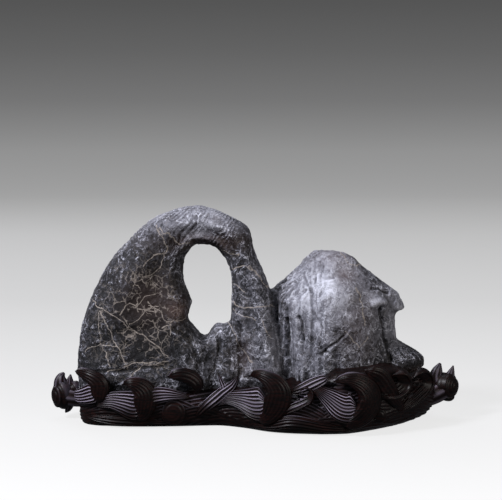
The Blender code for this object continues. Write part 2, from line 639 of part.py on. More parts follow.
def build_stone(material):
    shells = [arch_shell(), level_shell(PEAK_LEVELS), level_shell(FOOT_LEVELS), level_shell(NOSE_LEVELS)]
    shells += [lump_shell(np.array(centre), np.array(radii)) for centre, radii in STONE_LUMPS]
    stone = add_object("stone", *joined(shells))
    outward_faces(stone)
    fuse(stone, STONE_VOXEL)
    weather(stone)
    thin_out(stone, STONE_TRIANGLES)
    keep_largest(stone)
    stone.data.materials.append(material)
    return stone


def seat_cutter(stone):
    """The stone swollen by the seat's gap."""
    cutter = bpy.data.objects.new("seat_cutter", stone.data.copy())
    bpy.context.scene.collection.objects.link(cutter)
    cutter.hide_render = True
    cutter.display_type = "WIRE"
    swell = cutter.modifiers.new("gap", "DISPLACE")
    swell.strength = SEAT_GAP * UNIT
    swell.mid_level = 0.0
    return cutter


def build_stand(material, stone):
    shells = [stand_shell()]
    shells += [wave_shell(rows, -1) for rows in FRONT_FANS + FRONT_CURLS]
    shells += [wave_shell(rows, -1, HOOD_FACE) for rows in FRONT_HOODS]
    shells += [wave_shell(rows, 1) for rows in back_rows(BACK_FAN)]
    shells += [wave_shell(rows, 1, HOOD_FACE) for rows in back_rows(BACK_HOOD)]
    shells += [web_shell(rows, -1) for rows in FRONT_CURLS]
    shells += [whorl_shell(*place) for place in FRONT_WHORLS]
    shells += [lump_shell(np.array(centre), np.array(radii)) for centre, radii in END_KNOBS]
    shells += [curl_shell(rows, depth) for depth, rows in END_CURLS]
    stand = add_object("stand", *joined(shells))
    outward_faces(stand)
    fuse(stand, STAND_VOXEL)
    chisel(stand)
    thin_out(stand, STAND_TRIANGLES)
    ground = add_cutter("ground_cutter", *box_shell(*GROUND))
    boolean(stand, ground, "DIFFERENCE")
    boolean(stand, seat_cutter(stone), "DIFFERENCE")
    keep_largest(stand)
    stand.data.materials.append(material)
    return stand


def box_shell(x0, x1, y0, y1, z0, z1):
    ring = [(x0, y0), (x1, y0), (x1, y1), (x0, y1)]
    vertices = np.array([(x, y, z) for z in (z0, z1) for x, y in ring], float) * UNIT
    faces = [(3, 2, 1, 0), (4, 5, 6, 7), (0, 1, 5, 4), (1, 2, 6, 5), (2, 3, 7, 6), (3, 0, 4, 7)]
    return vertices, faces


def main():
    clear_scene()
    limestone = make_material("limestone", (0.10, 0.10, 0.115), 0.75)
    hardwood = make_material("waxed_hardwood", (0.012, 0.007, 0.007), 0.35, 0.4)
    stone = build_stone(limestone)
    build_stand(hardwood, stone)


main()
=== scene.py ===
# Looks of a picture stone on a stand carved as breaking waves.
# Tables are in millimetres, meshes in metres. The viewing side faces -Y, +Z is up.

import math

import bmesh
import bpy
import numpy as np
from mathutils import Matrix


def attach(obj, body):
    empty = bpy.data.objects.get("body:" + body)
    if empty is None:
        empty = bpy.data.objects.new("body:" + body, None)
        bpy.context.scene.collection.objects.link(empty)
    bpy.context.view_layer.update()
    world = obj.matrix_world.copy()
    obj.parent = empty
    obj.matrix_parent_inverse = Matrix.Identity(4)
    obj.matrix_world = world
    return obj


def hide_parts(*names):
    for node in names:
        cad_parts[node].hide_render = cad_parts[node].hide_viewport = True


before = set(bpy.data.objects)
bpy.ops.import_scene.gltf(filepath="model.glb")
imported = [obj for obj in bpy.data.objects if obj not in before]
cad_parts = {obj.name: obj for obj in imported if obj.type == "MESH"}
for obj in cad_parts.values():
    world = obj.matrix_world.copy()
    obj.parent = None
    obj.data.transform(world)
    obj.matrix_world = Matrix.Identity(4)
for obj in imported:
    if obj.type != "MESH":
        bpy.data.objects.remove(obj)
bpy.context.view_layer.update()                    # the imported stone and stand, which stay where they are
mm = 0.001


# Shared shapes

def smoothCurve(rows, count):
    # Catmull-Rom curve through the rows, any number of columns, at equal parameter steps
    rows = np.asarray(rows, float)
    place = np.linspace(0, len(rows) - 1, count)
    start = np.minimum(place.astype(int), len(rows) - 2)
    part = (place - start)[:, None]
    before, first, second, after = (rows[np.clip(start + k, 0, len(rows) - 1)] for k in (-1, 0, 1, 2))
    return 0.5 * (2 * first + (second - before) * part
                  + (2 * before - 5 * first + 4 * second - after) * part ** 2
                  + (3 * first - before - 3 * second + after) * part ** 3)


def evenCurve(rows, step, closed=False):
    # the same curve with its points at equal distances
    rows = list(rows) + ([rows[0]] if closed else [])
    if closed:
        rows = [rows[-2]] + rows + [rows[1]]
    fine = smoothCurve(rows, 60 * len(rows))
    if closed:
        fine = fine[60:-60]
    travelled = np.concatenate([[0], np.cumsum(np.linalg.norm(np.diff(fine[:, :2], axis=0), axis=1))])
    count = max(8, int(round(travelled[-1] / step)))
    wanted = np.linspace(0, travelled[-1], count, endpoint=not closed)
    return np.column_stack([np.interp(wanted, travelled, column) for column in fine.T])


def latticeNoise(points, cell, seed):
    # -1 to 1: random values at the corners of a cubic lattice, blended inside each cube by 3t^2 - 2t^3
    place = points / cell
    corner = np.floor(place).astype(np.int64)
    part = place - corner
    part = part * part * (3 - 2 * part)
    total = np.zeros(len(points))
    for step in np.ndindex(2, 2, 2):
        node = corner + np.array(step)
        mixed = node[:, 0] * 73856093 ^ node[:, 1] * 19349663 ^ node[:, 2] * 83492791 ^ seed * 2654435761
        mixed = (mixed ^ (mixed >> 13)) * 1274126177
        value = ((mixed ^ (mixed >> 16)) & 0xFFFF) / 32767.5 - 1
        total += value * np.prod(np.where(step, part, 1 - part), axis=1)
    return total


def wanderBy(points, cell, seed):
    # three noises side by side, to bend a pattern
    return np.column_stack([latticeNoise(points, cell, seed + k) for k in range(3)])


def crestLines(points, cell, seed, width):
    # 1 where the noise crosses zero, falling in a straight line to 0 at the given share of its height
    return np.clip(1 - np.abs(latticeNoise(points, cell, seed)) / width, 0, 1)


def smoothStep(value, low, high):
    part = np.clip((value - low) / (high - low), 0, 1)
    return part * part * (3 - 2 * part)


def blob(points, centre, radii):
    # bell curve of the distance from the centre, measured in radii along each axis
    away = (points - np.array(centre)) / np.array(radii)
    return np.exp(-(away ** 2).sum(-1))


def lineDistance(points, line):
    # nearest distance in one plane to a chain of straight runs, and the same with a sign for its side
    best = np.full(len(points), 1e9)
    signed = np.full(len(points), 1e9)
    line = np.asarray(line, float)
    for first, second in zip(line[:-1], line[1:]):
        along = second - first
        length = np.linalg.norm(along)
        share = np.clip((points - first) @ along / length ** 2, 0, 1)
        away = np.linalg.norm(points - first - share[:, None] * along, axis=1)
        side = ((points - first) @ np.array([-along[1], along[0]])) / length
        nearer = away < best
        signed = np.where(nearer, side, signed)
        best = np.where(nearer, away, best)
    return best, signed


def signedPower(value, power):
    return np.sign(value) * np.abs(value) ** power


def addPiece(name, points, quads, triangles, attributes=None):
    # a closed mesh from arrays, turned so that its faces point out: the sum of the volumes of the
    # tetrahedra between its faces and the origin has to be positive
    fans = np.vstack([quads[:, [0, 1, 2]], quads[:, [0, 2, 3]], triangles])
    a, b, c = (points[fans[:, k]] for k in range(3))
    if np.einsum("ij,ij->i", a, np.cross(b, c)).sum() < 0:
        quads, triangles = quads[:, ::-1], triangles[:, ::-1]
    corners = np.concatenate([quads.ravel(), triangles.ravel()]).astype(np.int32)
    starts = np.concatenate([np.arange(len(quads)) * 4, len(quads) * 4 + np.arange(len(triangles)) * 3])
    mesh = bpy.data.meshes.new(name)
    mesh.vertices.add(len(points))
    mesh.vertices.foreach_set("co", (points * mm).astype(np.float32).ravel())
    mesh.loops.add(len(corners))
    mesh.loops.foreach_set("vertex_index", corners)
    mesh.polygons.add(len(starts))
    mesh.polygons.foreach_set("loop_start", starts.astype(np.int32))
    mesh.update(calc_edges=True)
    mesh.shade_smooth()
    setAttributes(mesh, attributes or {})
    piece = bpy.data.objects.new(name, mesh)
    bpy.context.scene.collection.objects.link(piece)
    return piece


def setAttributes(mesh, attributes):
    for name, values in attributes.items():
        layer = mesh.attributes.new(name, "FLOAT", "POINT")
        layer.data.foreach_set("value", np.asarray(values, np.float32).ravel())


def loft(rings):
    # quads between rings that close on themselves, and a fan of triangles at each end
    count, around, width = rings.shape
    points = np.vstack([rings.reshape(-1, width), rings[0].mean(0), rings[-1].mean(0)])
    ring = np.arange(count - 1)[:, None] * around
    here = np.arange(around)[None, :]
    after = (here + 1) % around
    quads = np.stack([ring + here, ring + after, ring + around + after, ring + around + here], -1).reshape(-1, 4)
    rim, beyond = np.arange(around), (np.arange(around) + 1) % around
    last = (count - 1) * around
    low = np.column_stack([np.full(around, count * around), beyond, rim])
    high = np.column_stack([np.full(around, count * around + 1), last + rim, last + beyond])
    return points, quads, np.vstack([low, high])


def dress(piece, node, material):
    piece.data.materials.clear()
    piece.data.materials.append(material)
    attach(piece, "root")
    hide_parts(node)


# Material helpers

def linear(hexText, strength=1.0):
    # sRGB hex to linear red, green, blue
    parts = [int(hexText[k:k + 2], 16) / 255 for k in (1, 3, 5)]
    return tuple(strength * (p / 12.92 if p <= 0.04045 else ((p + 0.055) / 1.055) ** 2.4) for p in parts) + (1,)


def addNode(tree, kind, settings=None, **links):
    # one node: settings are its properties or, by input name, its values; links go to its inputs
    node = tree.nodes.new("ShaderNode" + kind)
    for name, value in (settings or {}).items():
        if isinstance(name, int) or name in node.inputs:
            node.inputs[name].default_value = value
        else:
            setattr(node, name, value)
    for name, source in links.items():
        key = int(name[1:]) if name[0] == "i" and name[1:].isdigit() else name.replace("_", " ")
        tree.links.new(source, node.inputs[key])
    return node


def newMaterial(name):
    material = bpy.data.materials.new(name)
    material.use_nodes = True
    tree = material.node_tree
    tree.nodes.clear()
    shader = tree.nodes.new("ShaderNodeBsdfPrincipled")
    output = tree.nodes.new("ShaderNodeOutputMaterial")
    tree.links.new(shader.outputs[0], output.inputs[0])
    return material, tree, shader


def blendColours(tree, share, first, second, mode="MIX"):
    # colours are sockets or linear tuples, share is a socket or a number
    node = tree.nodes.new("ShaderNodeMix")
    node.data_type = "RGBA"
    node.blend_type = mode
    for index, value in ((0, share), (6, first), (7, second)):
        if isinstance(value, bpy.types.NodeSocket):
            tree.links.new(value, node.inputs[index])
        else:
            node.inputs[index].default_value = value
    return node.outputs[2]


def compute(tree, operation, *values):
    node = tree.nodes.new("ShaderNodeMath")
    node.operation = operation
    for index, value in enumerate(values):
        if isinstance(value, bpy.types.NodeSocket):
            tree.links.new(value, node.inputs[index])
        else:
            node.inputs[index].default_value = value
    return node.outputs[0]


# The stone

stoneShape = {
    "voxel": 1.5,                    # spacing of the fine mesh
    "roundings": 2,                  # subdivisions that take the facets out of the solid
    "relaxing": 3,                   # rounds of averaging after the remesh
    # crumpled grain from crest lines: height, cell, width share, seed; reach, cell and seed of its bends
    "grain": [(0.6, 9.0, 0.5, 11), (0.5, 5.0, 0.45, 17), (0.35, 3.4, 0.5, 19)],
    "grainBend": (2.5, 13, 41),
    "washed": 1.5,                   # how much smoother the pale parts are
    "swell": [(0.7, 17.0, 23), (0.4, 6.0, 29)],                 # height, cell, seed
    # ripples in rings about a far centre: over the crown, and more faintly down the outer flank
    "crown": {"centre": (40, 170), "spacing": 4.2, "height": 0.5, "wander": [(8.0, 34, 51), (2.4, 11, 52)],
              "above": (205, 222), "left": (0, 40), "gaps": (15, 53),
              "flank": 0.7, "flankAbove": (120, 200), "flankLeft": (135, 165)},
    # runnels on the peak's left, which spread downwards, and rubble under the window
    "flutes": {"cell": 7.0, "stretch": 8.0, "height": 1.9, "seed": 61,
               "from": (20, 34), "to": (78, 104), "fading": (170, 205)},
    "rubble": {"cell": 6.0, "stretch": 4.0, "height": 1.3, "seed": 71, "centre": (-38, 76), "radii": (26, 38)},
    "creaseBend": (1.5, 9, 81),      # reach, cell, seed
}

# Narrow creases on the viewing side: points (x, z), depth, half width
stoneCreases = [
    ([(112, 121), (100, 110), (88, 100)], -2.4, 4.2),          # fills most of the solid's wide groove
    ([(79, 95), (88, 103), (97, 109), (104, 116)], 2.0, 1.2),
    ([(78, 92), (84, 97)], 2.6, 2.2),
    ([(86, 178), (95, 182)], 2.4, 1.4),
    ([(74, 132), (80, 124)], 3.0, 2.6),
    ([(140, 167), (150, 164), (160, 158)], 2.2, 1.5),
    ([(150, 142), (154, 122), (158, 101), (164, 80)], 4.2, 2.3),
    ([(39, 142), (41, 112), (40, 84)], 2.6, 2.4),
    ([(54, 134), (58, 106)], 2.4, 2.2),
    ([(60, 180), (68, 162), (69, 142), (75, 131)], 2.2, 1.6),
    ([(51, 169), (54, 131), (59, 91)], 1.8, 3.2),
    ([(38, 93), (47, 58)], 1.8, 3.0),
    ([(66, 178), (72, 150), (70, 122)], 1.6, 2.6),
    ([(-200, 66), (-152, 70), (-104, 75)], 2.0, 2.2),
    ([(-167, 132), (-160, 112), (-150, 100)], 1.6, 2.4),
    ([(-96, 118), (-78, 106), (-70, 84)], 1.6, 2.4),
]

# Pale lines of the vein network on the viewing side: half width, points (x, z)
stoneVeins = [
    (0.75, [(-194, 150), (-173, 140), (-154, 122), (-135, 113), (-120, 99), (-104, 86)]),
    (0.7, [(-184, 140), (-173, 117), (-167, 99), (-158, 84), (-152, 72)]),
    (0.6, [(-186, 136), (-186, 109), (-180, 89), (-175, 74)]),
    (0.6, [(-205, 91), (-200, 97), (-182, 99), (-167, 97)]),
    (0.7, [(-160, 138), (-150, 150), (-140, 146), (-131, 158), (-120, 161)]),
    (0.6, [(-150, 126), (-139, 131), (-130, 140), (-118, 138)]),
    (0.75, [(-131, 198), (-120, 209), (-106, 211), (-110, 198), (-110, 190), (-131, 182)]),
    (0.8, [(-116, 242), (-108, 225), (-104, 213)]),
    (0.8, [(-110, 240), (-95, 223), (-89, 219), (-80, 221)]),
    (0.6, [(-125, 146), (-112, 140), (-106, 128), (-85, 129)]),
    (0.7, [(-110, 122), (-100, 126), (-100, 115)]),
    (0.8, [(-175, 68), (-152, 76), (-133, 78), (-104, 80)]),
    (0.7, [(-146, 64), (-133, 74), (-110, 76)]),
    (0.8, [(-28, 189), (-17, 191), (-9, 192), (-1, 187)]),
    (0.7, [(-4, 194), (16, 166)]),
    (0.6, [(-28, 173), (-19, 167), (-13, 163)]),
    (0.8, [(-26, 145), (-7, 146), (23, 142)]),
    (0.6, [(-26, 138), (-1, 127)]),
    (0.6, [(-38, 212), (-19, 206)]),
    (0.7, [(-32, 121), (-22, 107), (-15, 92), (-5, 78)]),
    (0.6, [(7, 129), (20, 109)]),
    (0.8, [(122, 169), (128, 149), (131, 127)]),
    (0.7, [(106, 120), (123, 101), (133, 111)]),
    (0.6, [(103, 207), (112, 196), (126, 190)]),
]
# The same on the far side
stoneBackVeins = [
    (0.8, [(-196, 120), (-170, 136), (-150, 128), (-126, 150), (-118, 178)]),
    (0.7, [(-170, 136), (-164, 100), (-140, 78), (-132, 52)]),
    (0.7, [(-126, 150), (-104, 132), (-96, 100), (-70, 88)]),
    (0.7, [(-120, 226), (-96, 214), (-90, 196)]),
    (0.6, [(-60, 250), (-34, 232), (-20, 206)]),
    (0.8, [(-14, 176), (4, 150), (2, 118), (20, 92)]),
    (0.7, [(4, 150), (24, 146)]),
    (0.8, [(50, 150), (80, 138), (98, 108), (92, 74)]),
    (0.7, [(98, 108), (126, 116), (150, 96)]),
    (0.7, [(84, 196), (100, 172), (130, 168), (152, 150)]),
    (0.6, [(40, 92), (60, 84), (92, 74)]),
]

# Lighter and darker parts of the stone: centre, radii, added tone
stoneTones = [
    ((-75, -10, 252), (95, 60, 22), 0.26),       # crown of the arch
    ((-66, -40, 232), (34, 40, 12), 0.40),       # its pale face over the window, lightened further as painted light against the shade that falls on it
    ((-34, -40, 223), (24, 60, 11), -0.42),      # painted shade on the ceiling at the window's upper right, which faces down
    ((40, -60, 112), (7, 40, 30), -0.22),        # painted shade in the gullies down the peak's left, with painted light on the ridge between
    ((56, -60, 120), (5, 40, 16), -0.20),
    ((48, -60, 106), (4, 40, 34), 0.16),
    ((-198, -30, 85), (30, 60, 48), -0.24),      # outer flank
    ((-180, -30, 145), (24, 60, 34), -0.14),
    ((-128, -40, 150), (44, 60, 60), -0.50),     # dark viewing face
    ((-150, -40, 80), (60, 60, 34), -0.24),
    ((-8, -10, 190), (26, 60, 60), 0.04),        # right leg
    ((8, -10, 90), (24, 60, 50), 0.24),
    ((-42, -20, 80), (24, 60, 34), -0.04),       # rubble under the window
    ((58, -20, 160), (24, 70, 50), 0.22),        # pale flutes on the peak's left
    ((92, -50, 166), (34, 50, 36), 0.44),        # pale bulge
    ((64, -50, 100), (40, 60, 44), 0.20),
    ((100, -20, 200), (34, 60, 16), 0.16),       # smooth cap
    ((144, -50, 154), (12, 30, 10), 0.34),       # ledge under the brow
    ((135, -50, 120), (34, 60, 50), 0.20),
    ((172, -20, 120), (16, 60, 50), 0.36),       # wall under the brow, lightened as painted light where the lamps leave it in shade
    ((190, 0, 78), (36, 60, 24), -0.40),         # low foot
    ((-10, -40, 236), (24, 60, 16), -0.24),      # where the crown turns down to the leg
    ((-150, -40, 60), (60, 50, 9), 0.08),        # bluish strip at the base
]
# Rust and tan patches: centre, radii, strength
stoneWarmth = [
    ((-92, -30, 140), (12, 30, 12), 0.8),
    ((-60, 0, 222), (60, 60, 14), 0.55),
    ((-125, -40, 155), (36, 40, 36), 0.35),
    ((108, -40, 184), (12, 40, 10), 0.6),
    ((122, -60, 130), (22, 40, 46), 0.35),
    ((190, 0, 60), (26, 60, 7), 0.8),
    ((100, -20, 204), (30, 60, 14), 0.4),
    ((-14, -30, 84), (12, 40, 22), 0.4),
]


def refinedCopy(node, name):
    # the node's loose triangles merged, rounded by subdivision and laid out again in even voxels
    edit = bmesh.new()
    edit.from_mesh(node.data)
    bmesh.ops.remove_doubles(edit, verts=edit.verts, dist=0.02 * mm)
    mesh = bpy.data.meshes.new(name)
    edit.to_mesh(mesh)
    edit.free()
    piece = bpy.data.objects.new(name, mesh)
    bpy.context.scene.collection.objects.link(piece)
    rounding = piece.modifiers.new("rounding", "SUBSURF")
    rounding.levels = rounding.render_levels = stoneShape["roundings"]
    even = piece.modifiers.new("even", "REMESH")
    even.mode = "VOXEL"
    even.voxel_size = stoneShape["voxel"] * mm
    fine = bpy.data.meshes.new_from_object(piece.evaluated_get(bpy.context.evaluated_depsgraph_get()))
    piece.modifiers.clear()
    piece.data = fine
    return piece


def meshArrays(mesh):
    # places in millimetres, normals and edges
    place = np.empty(len(mesh.vertices) * 3, np.float32)
    mesh.vertices.foreach_get("co", place)
    normal = np.empty(len(mesh.vertices) * 3, np.float32)
    mesh.vertex_normals.foreach_get("vector", normal)
    edges = np.empty(len(mesh.edges) * 2, np.int32)
    mesh.edges.foreach_get("vertices", edges)
    return place.reshape(-1, 3).astype(float) / mm, normal.reshape(-1, 3).astype(float), edges.reshape(-1, 2)


def neighbourMean(values, edges):
    # mean over each vertex's neighbours
    total = np.zeros_like(values)
    count = np.bincount(edges.ravel(), minlength=len(values))
    for column in range(values.shape[1]):
        total[:, column] = (np.bincount(edges[:, 0], values[edges[:, 1], column], len(values))
                            + np.bincount(edges[:, 1], values[edges[:, 0], column], len(values)))
    return total / count[:, None]


def movePoints(mesh, place):
    mesh.vertices.foreach_set("co", (place * mm).astype(np.float32).ravel())
    mesh.update()


def flutes(place, style):
    # noise drawn out upwards, its crests sharpened, so that it falls in runnels
    drawn = place * [1, 1, 1 / style["stretch"]]
    wavy = latticeNoise(drawn, style["cell"], style["seed"])
    fine = latticeNoise(drawn, style["cell"] / 2.2, style["seed"] + 1)
    return style["height"] * (0.7 * (1 - 2 * np.abs(wavy)) + 0.3 * fine)


def stoneRelief(place, normal):
    # how far the surface swells or sinks at each point
    x, z = place[:, 0], place[:, 2]
    reach, cell, seed = stoneShape["grainBend"]
    bent = place + reach * wanderBy(place, cell, seed)
    relief = sum(height * crestLines(bent, cell, seed, width)
                 for height, cell, width, seed in stoneShape["grain"])
    paleness = sum(max(added, 0) * blob(place, centre, radii) for centre, radii, added in stoneTones)
    relief = relief * np.clip(1 - stoneShape["washed"] * paleness, 0.3, 1)
    relief += sum(height * latticeNoise(place, cell, seed) for height, cell, seed in stoneShape["swell"])

    crown = stoneShape["crown"]
    away = np.hypot(x - crown["centre"][0], z - crown["centre"][1])
    away += sum(height * latticeNoise(place, cell, seed) for height, cell, seed in crown["wander"])
    onCrown = smoothStep(z, *crown["above"]) * smoothStep(-x, *crown["left"])
    onFlank = smoothStep(z, *crown["flankAbove"]) * smoothStep(-x, *crown["flankLeft"])
    onCrown = np.maximum(onCrown, crown["flank"] * onFlank)
    onCrown = onCrown * smoothStep(latticeNoise(place, *crown["gaps"]), -0.6, 0.3)
    relief += onCrown * crown["height"] * np.cos(2 * math.pi * away / crown["spacing"])

    peak = stoneShape["flutes"]
    onPeak = smoothStep(x, *peak["from"]) * (1 - smoothStep(x, *peak["to"]))
    onPeak = onPeak * (1 - 0.5 * smoothStep(z, *peak["fading"]))
    spread = place + np.outer((z - 60) * (x - 90) / 600, [1, 0, 0])
    relief += onPeak * flutes(spread, peak)
    rubble = stoneShape["rubble"]
    relief += blob(place[:, [0, 2]], rubble["centre"], rubble["radii"]) * flutes(place, rubble)

    facing = np.clip(-normal[:, 1] * 1.6, 0, 1)
    reach, cell, seed = stoneShape["creaseBend"]
    crooked = place[:, [0, 2]] + reach * wanderBy(place, cell, seed)[:, :2]
    for line, depth, half in stoneCreases:
        distance, side = lineDistance(crooked, line)
        relief -= facing * depth * np.exp(-(distance / half) ** 2)
    return relief


# The drawn veins: share of the half widths above, and reach, cell and seed step of each bend
veinStyle = {"width": 0.72, "wander": [(2.6, 16, 0), (1.7, 6, 3), (0.8, 3.2, 6)]}


def nearestVein(place, veins, seed):
    # distance to the closest line in shares of its half width, without and with a sign for its side
    wander = sum(reach * wanderBy(place, cell, seed + step) for reach, cell, step in veinStyle["wander"])
    crooked = place[:, [0, 2]] + wander[:, :2]
    best = np.full(len(place), 1e9)
    across = np.full(len(place), 1e9)
    for half, line in veins:
        half = veinStyle["width"] * half
        away, side = lineDistance(crooked, line)
        nearer = away / half < best
        across = np.where(nearer, side / half, across)
        best = np.where(nearer, away / half, best)
    return best, across


# The stone's tone before its lighter and darker parts are added. Two of its entries paint light on faces that
# point up and shade on faces that point down
stoneTone = {
    "base": 0.30, "paintedTopLight": 0.10, "paintedUndersideShade": -0.16,
    "noise": [(0.10, 26, 91), (0.08, 11, 92)],                  # strength, cell, seed
    # where the tan net shows: centre (x, z), radii, strength; and how much of it shows elsewhere
    "net": [((-137, 150), (40, 44), 1.2), ((-130, 90), (60, 40), 0.45)], "leastNet": 0.12,
}


def makeStone():
    # the solid made fine and moved by the relief; tone and hollows, which carry painted light and shade, rust and
    # veins go with it as attributes
    stone = refinedCopy(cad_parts["stone"], "viewing_stone")
    mesh = stone.data
    place, normal, edges = meshArrays(mesh)
    for _ in range(stoneShape["relaxing"]):
        place = 0.5 * place + 0.5 * neighbourMean(place, edges)
    movePoints(mesh, place)
    place, normal, edges = meshArrays(mesh)
    movePoints(mesh, place + normal * stoneRelief(place, normal)[:, None])
    place, normal, edges = meshArrays(mesh)
    # how hollow each point is, which the limestone turns into painted shade in hollows and painted light on ridges
    hollow = ((neighbourMean(place, edges) - place) * normal).sum(1)[:, None]
    hollow = neighbourMean(hollow, edges)[:, 0]
    # painted light: lighter where the surface points up
    tone = stoneTone["base"] + stoneTone["paintedTopLight"] * np.clip(normal[:, 2], -1, 1)
    tone += sum(added * blob(place, centre, radii) for centre, radii, added in stoneTones)
    # painted shade: darker where the surface points down
    tone += stoneTone["paintedUndersideShade"] * smoothStep(-normal[:, 2], 0.25, 0.8)
    tone += sum(strength * latticeNoise(place, cell, seed) for strength, cell, seed in stoneTone["noise"])
    warm = sum(strength * blob(place, centre, radii) for centre, radii, strength in stoneWarmth)
    net = sum(strength * blob(place[:, [0, 2]], centre, radii) for centre, radii, strength in stoneTone["net"])
    front, frontAcross = nearestVein(place, stoneVeins, 101)
    back, backAcross = nearestVein(place, stoneBackVeins, 111)
    viewed = normal[:, 1] < 0.15
    setAttributes(mesh, {
        "tone": np.clip(tone, -0.2, 1),
        "hollow": np.clip(hollow * 4, -1, 1),
        "warm": np.clip(warm, 0, 1),
        "veinAway": np.clip(np.where(viewed, front, back), 0, 6),
        "veinAcross": np.clip(np.where(viewed, frontAcross, backAcross), -6, 6),
        "network": np.clip(net, stoneTone["leastNet"], 1)})
    mesh.shade_smooth()
    return stone


# Limestone: dense grey stone washed bare and left matt, so nearly all of its look is tone: almost black
# in the hollows and chalky on what stands proud, partly through painted shade and painted light, crumpled
# all over into pale wrinkles a millimetre or two wide, with a net of thin tan calcite veins where it is darkest.
limestoneLook = {
    "stops": [(0.0, "#161618"), (0.3, "#38383d"), (0.62, "#787880"), (1.0, "#d6d8e2")],
    "vein": "#b8ada2", "veinShare": 0.72, "warm": "#5b4238", "warmShare": 0.6,
    "mottle": (1.7, 0.6), "patch": (5.0, 0.55),              # size, strength
    "quiet": (1.35, 0.42),           # share of the markings that shows on dark and on pale stone
    "hollow": -0.5,                  # tone added in a hollow and taken off on a ridge: painted shade in hollows, painted light on ridges
    "bend": (12.0, 11), "kink": (3.2, 3),                    # size and reach of what bends the markings
    "wrinkle": (17.0, 4.0, 0.16),                            # size, lines to a swing of the noise, strength
    "wrinkleBend": 16,
    # cell size, half width of the line, how much of it shows, tone added
    "pale": [(13.0, 0.55, 0.47, 0.40), (6.5, 0.42, 0.49, 0.30)],
    "dark": [(11.0, 0.55, 0.48, 0.34), (5.5, 0.40, 0.49, 0.24)],
    "tan": [(13.0, 0.5, 0.47, 0.85), (7.5, 0.4, 0.50, 0.65)],
    "roughness": (0.55, 0.85), "specular": 0.35, "bump": 0.7,
}


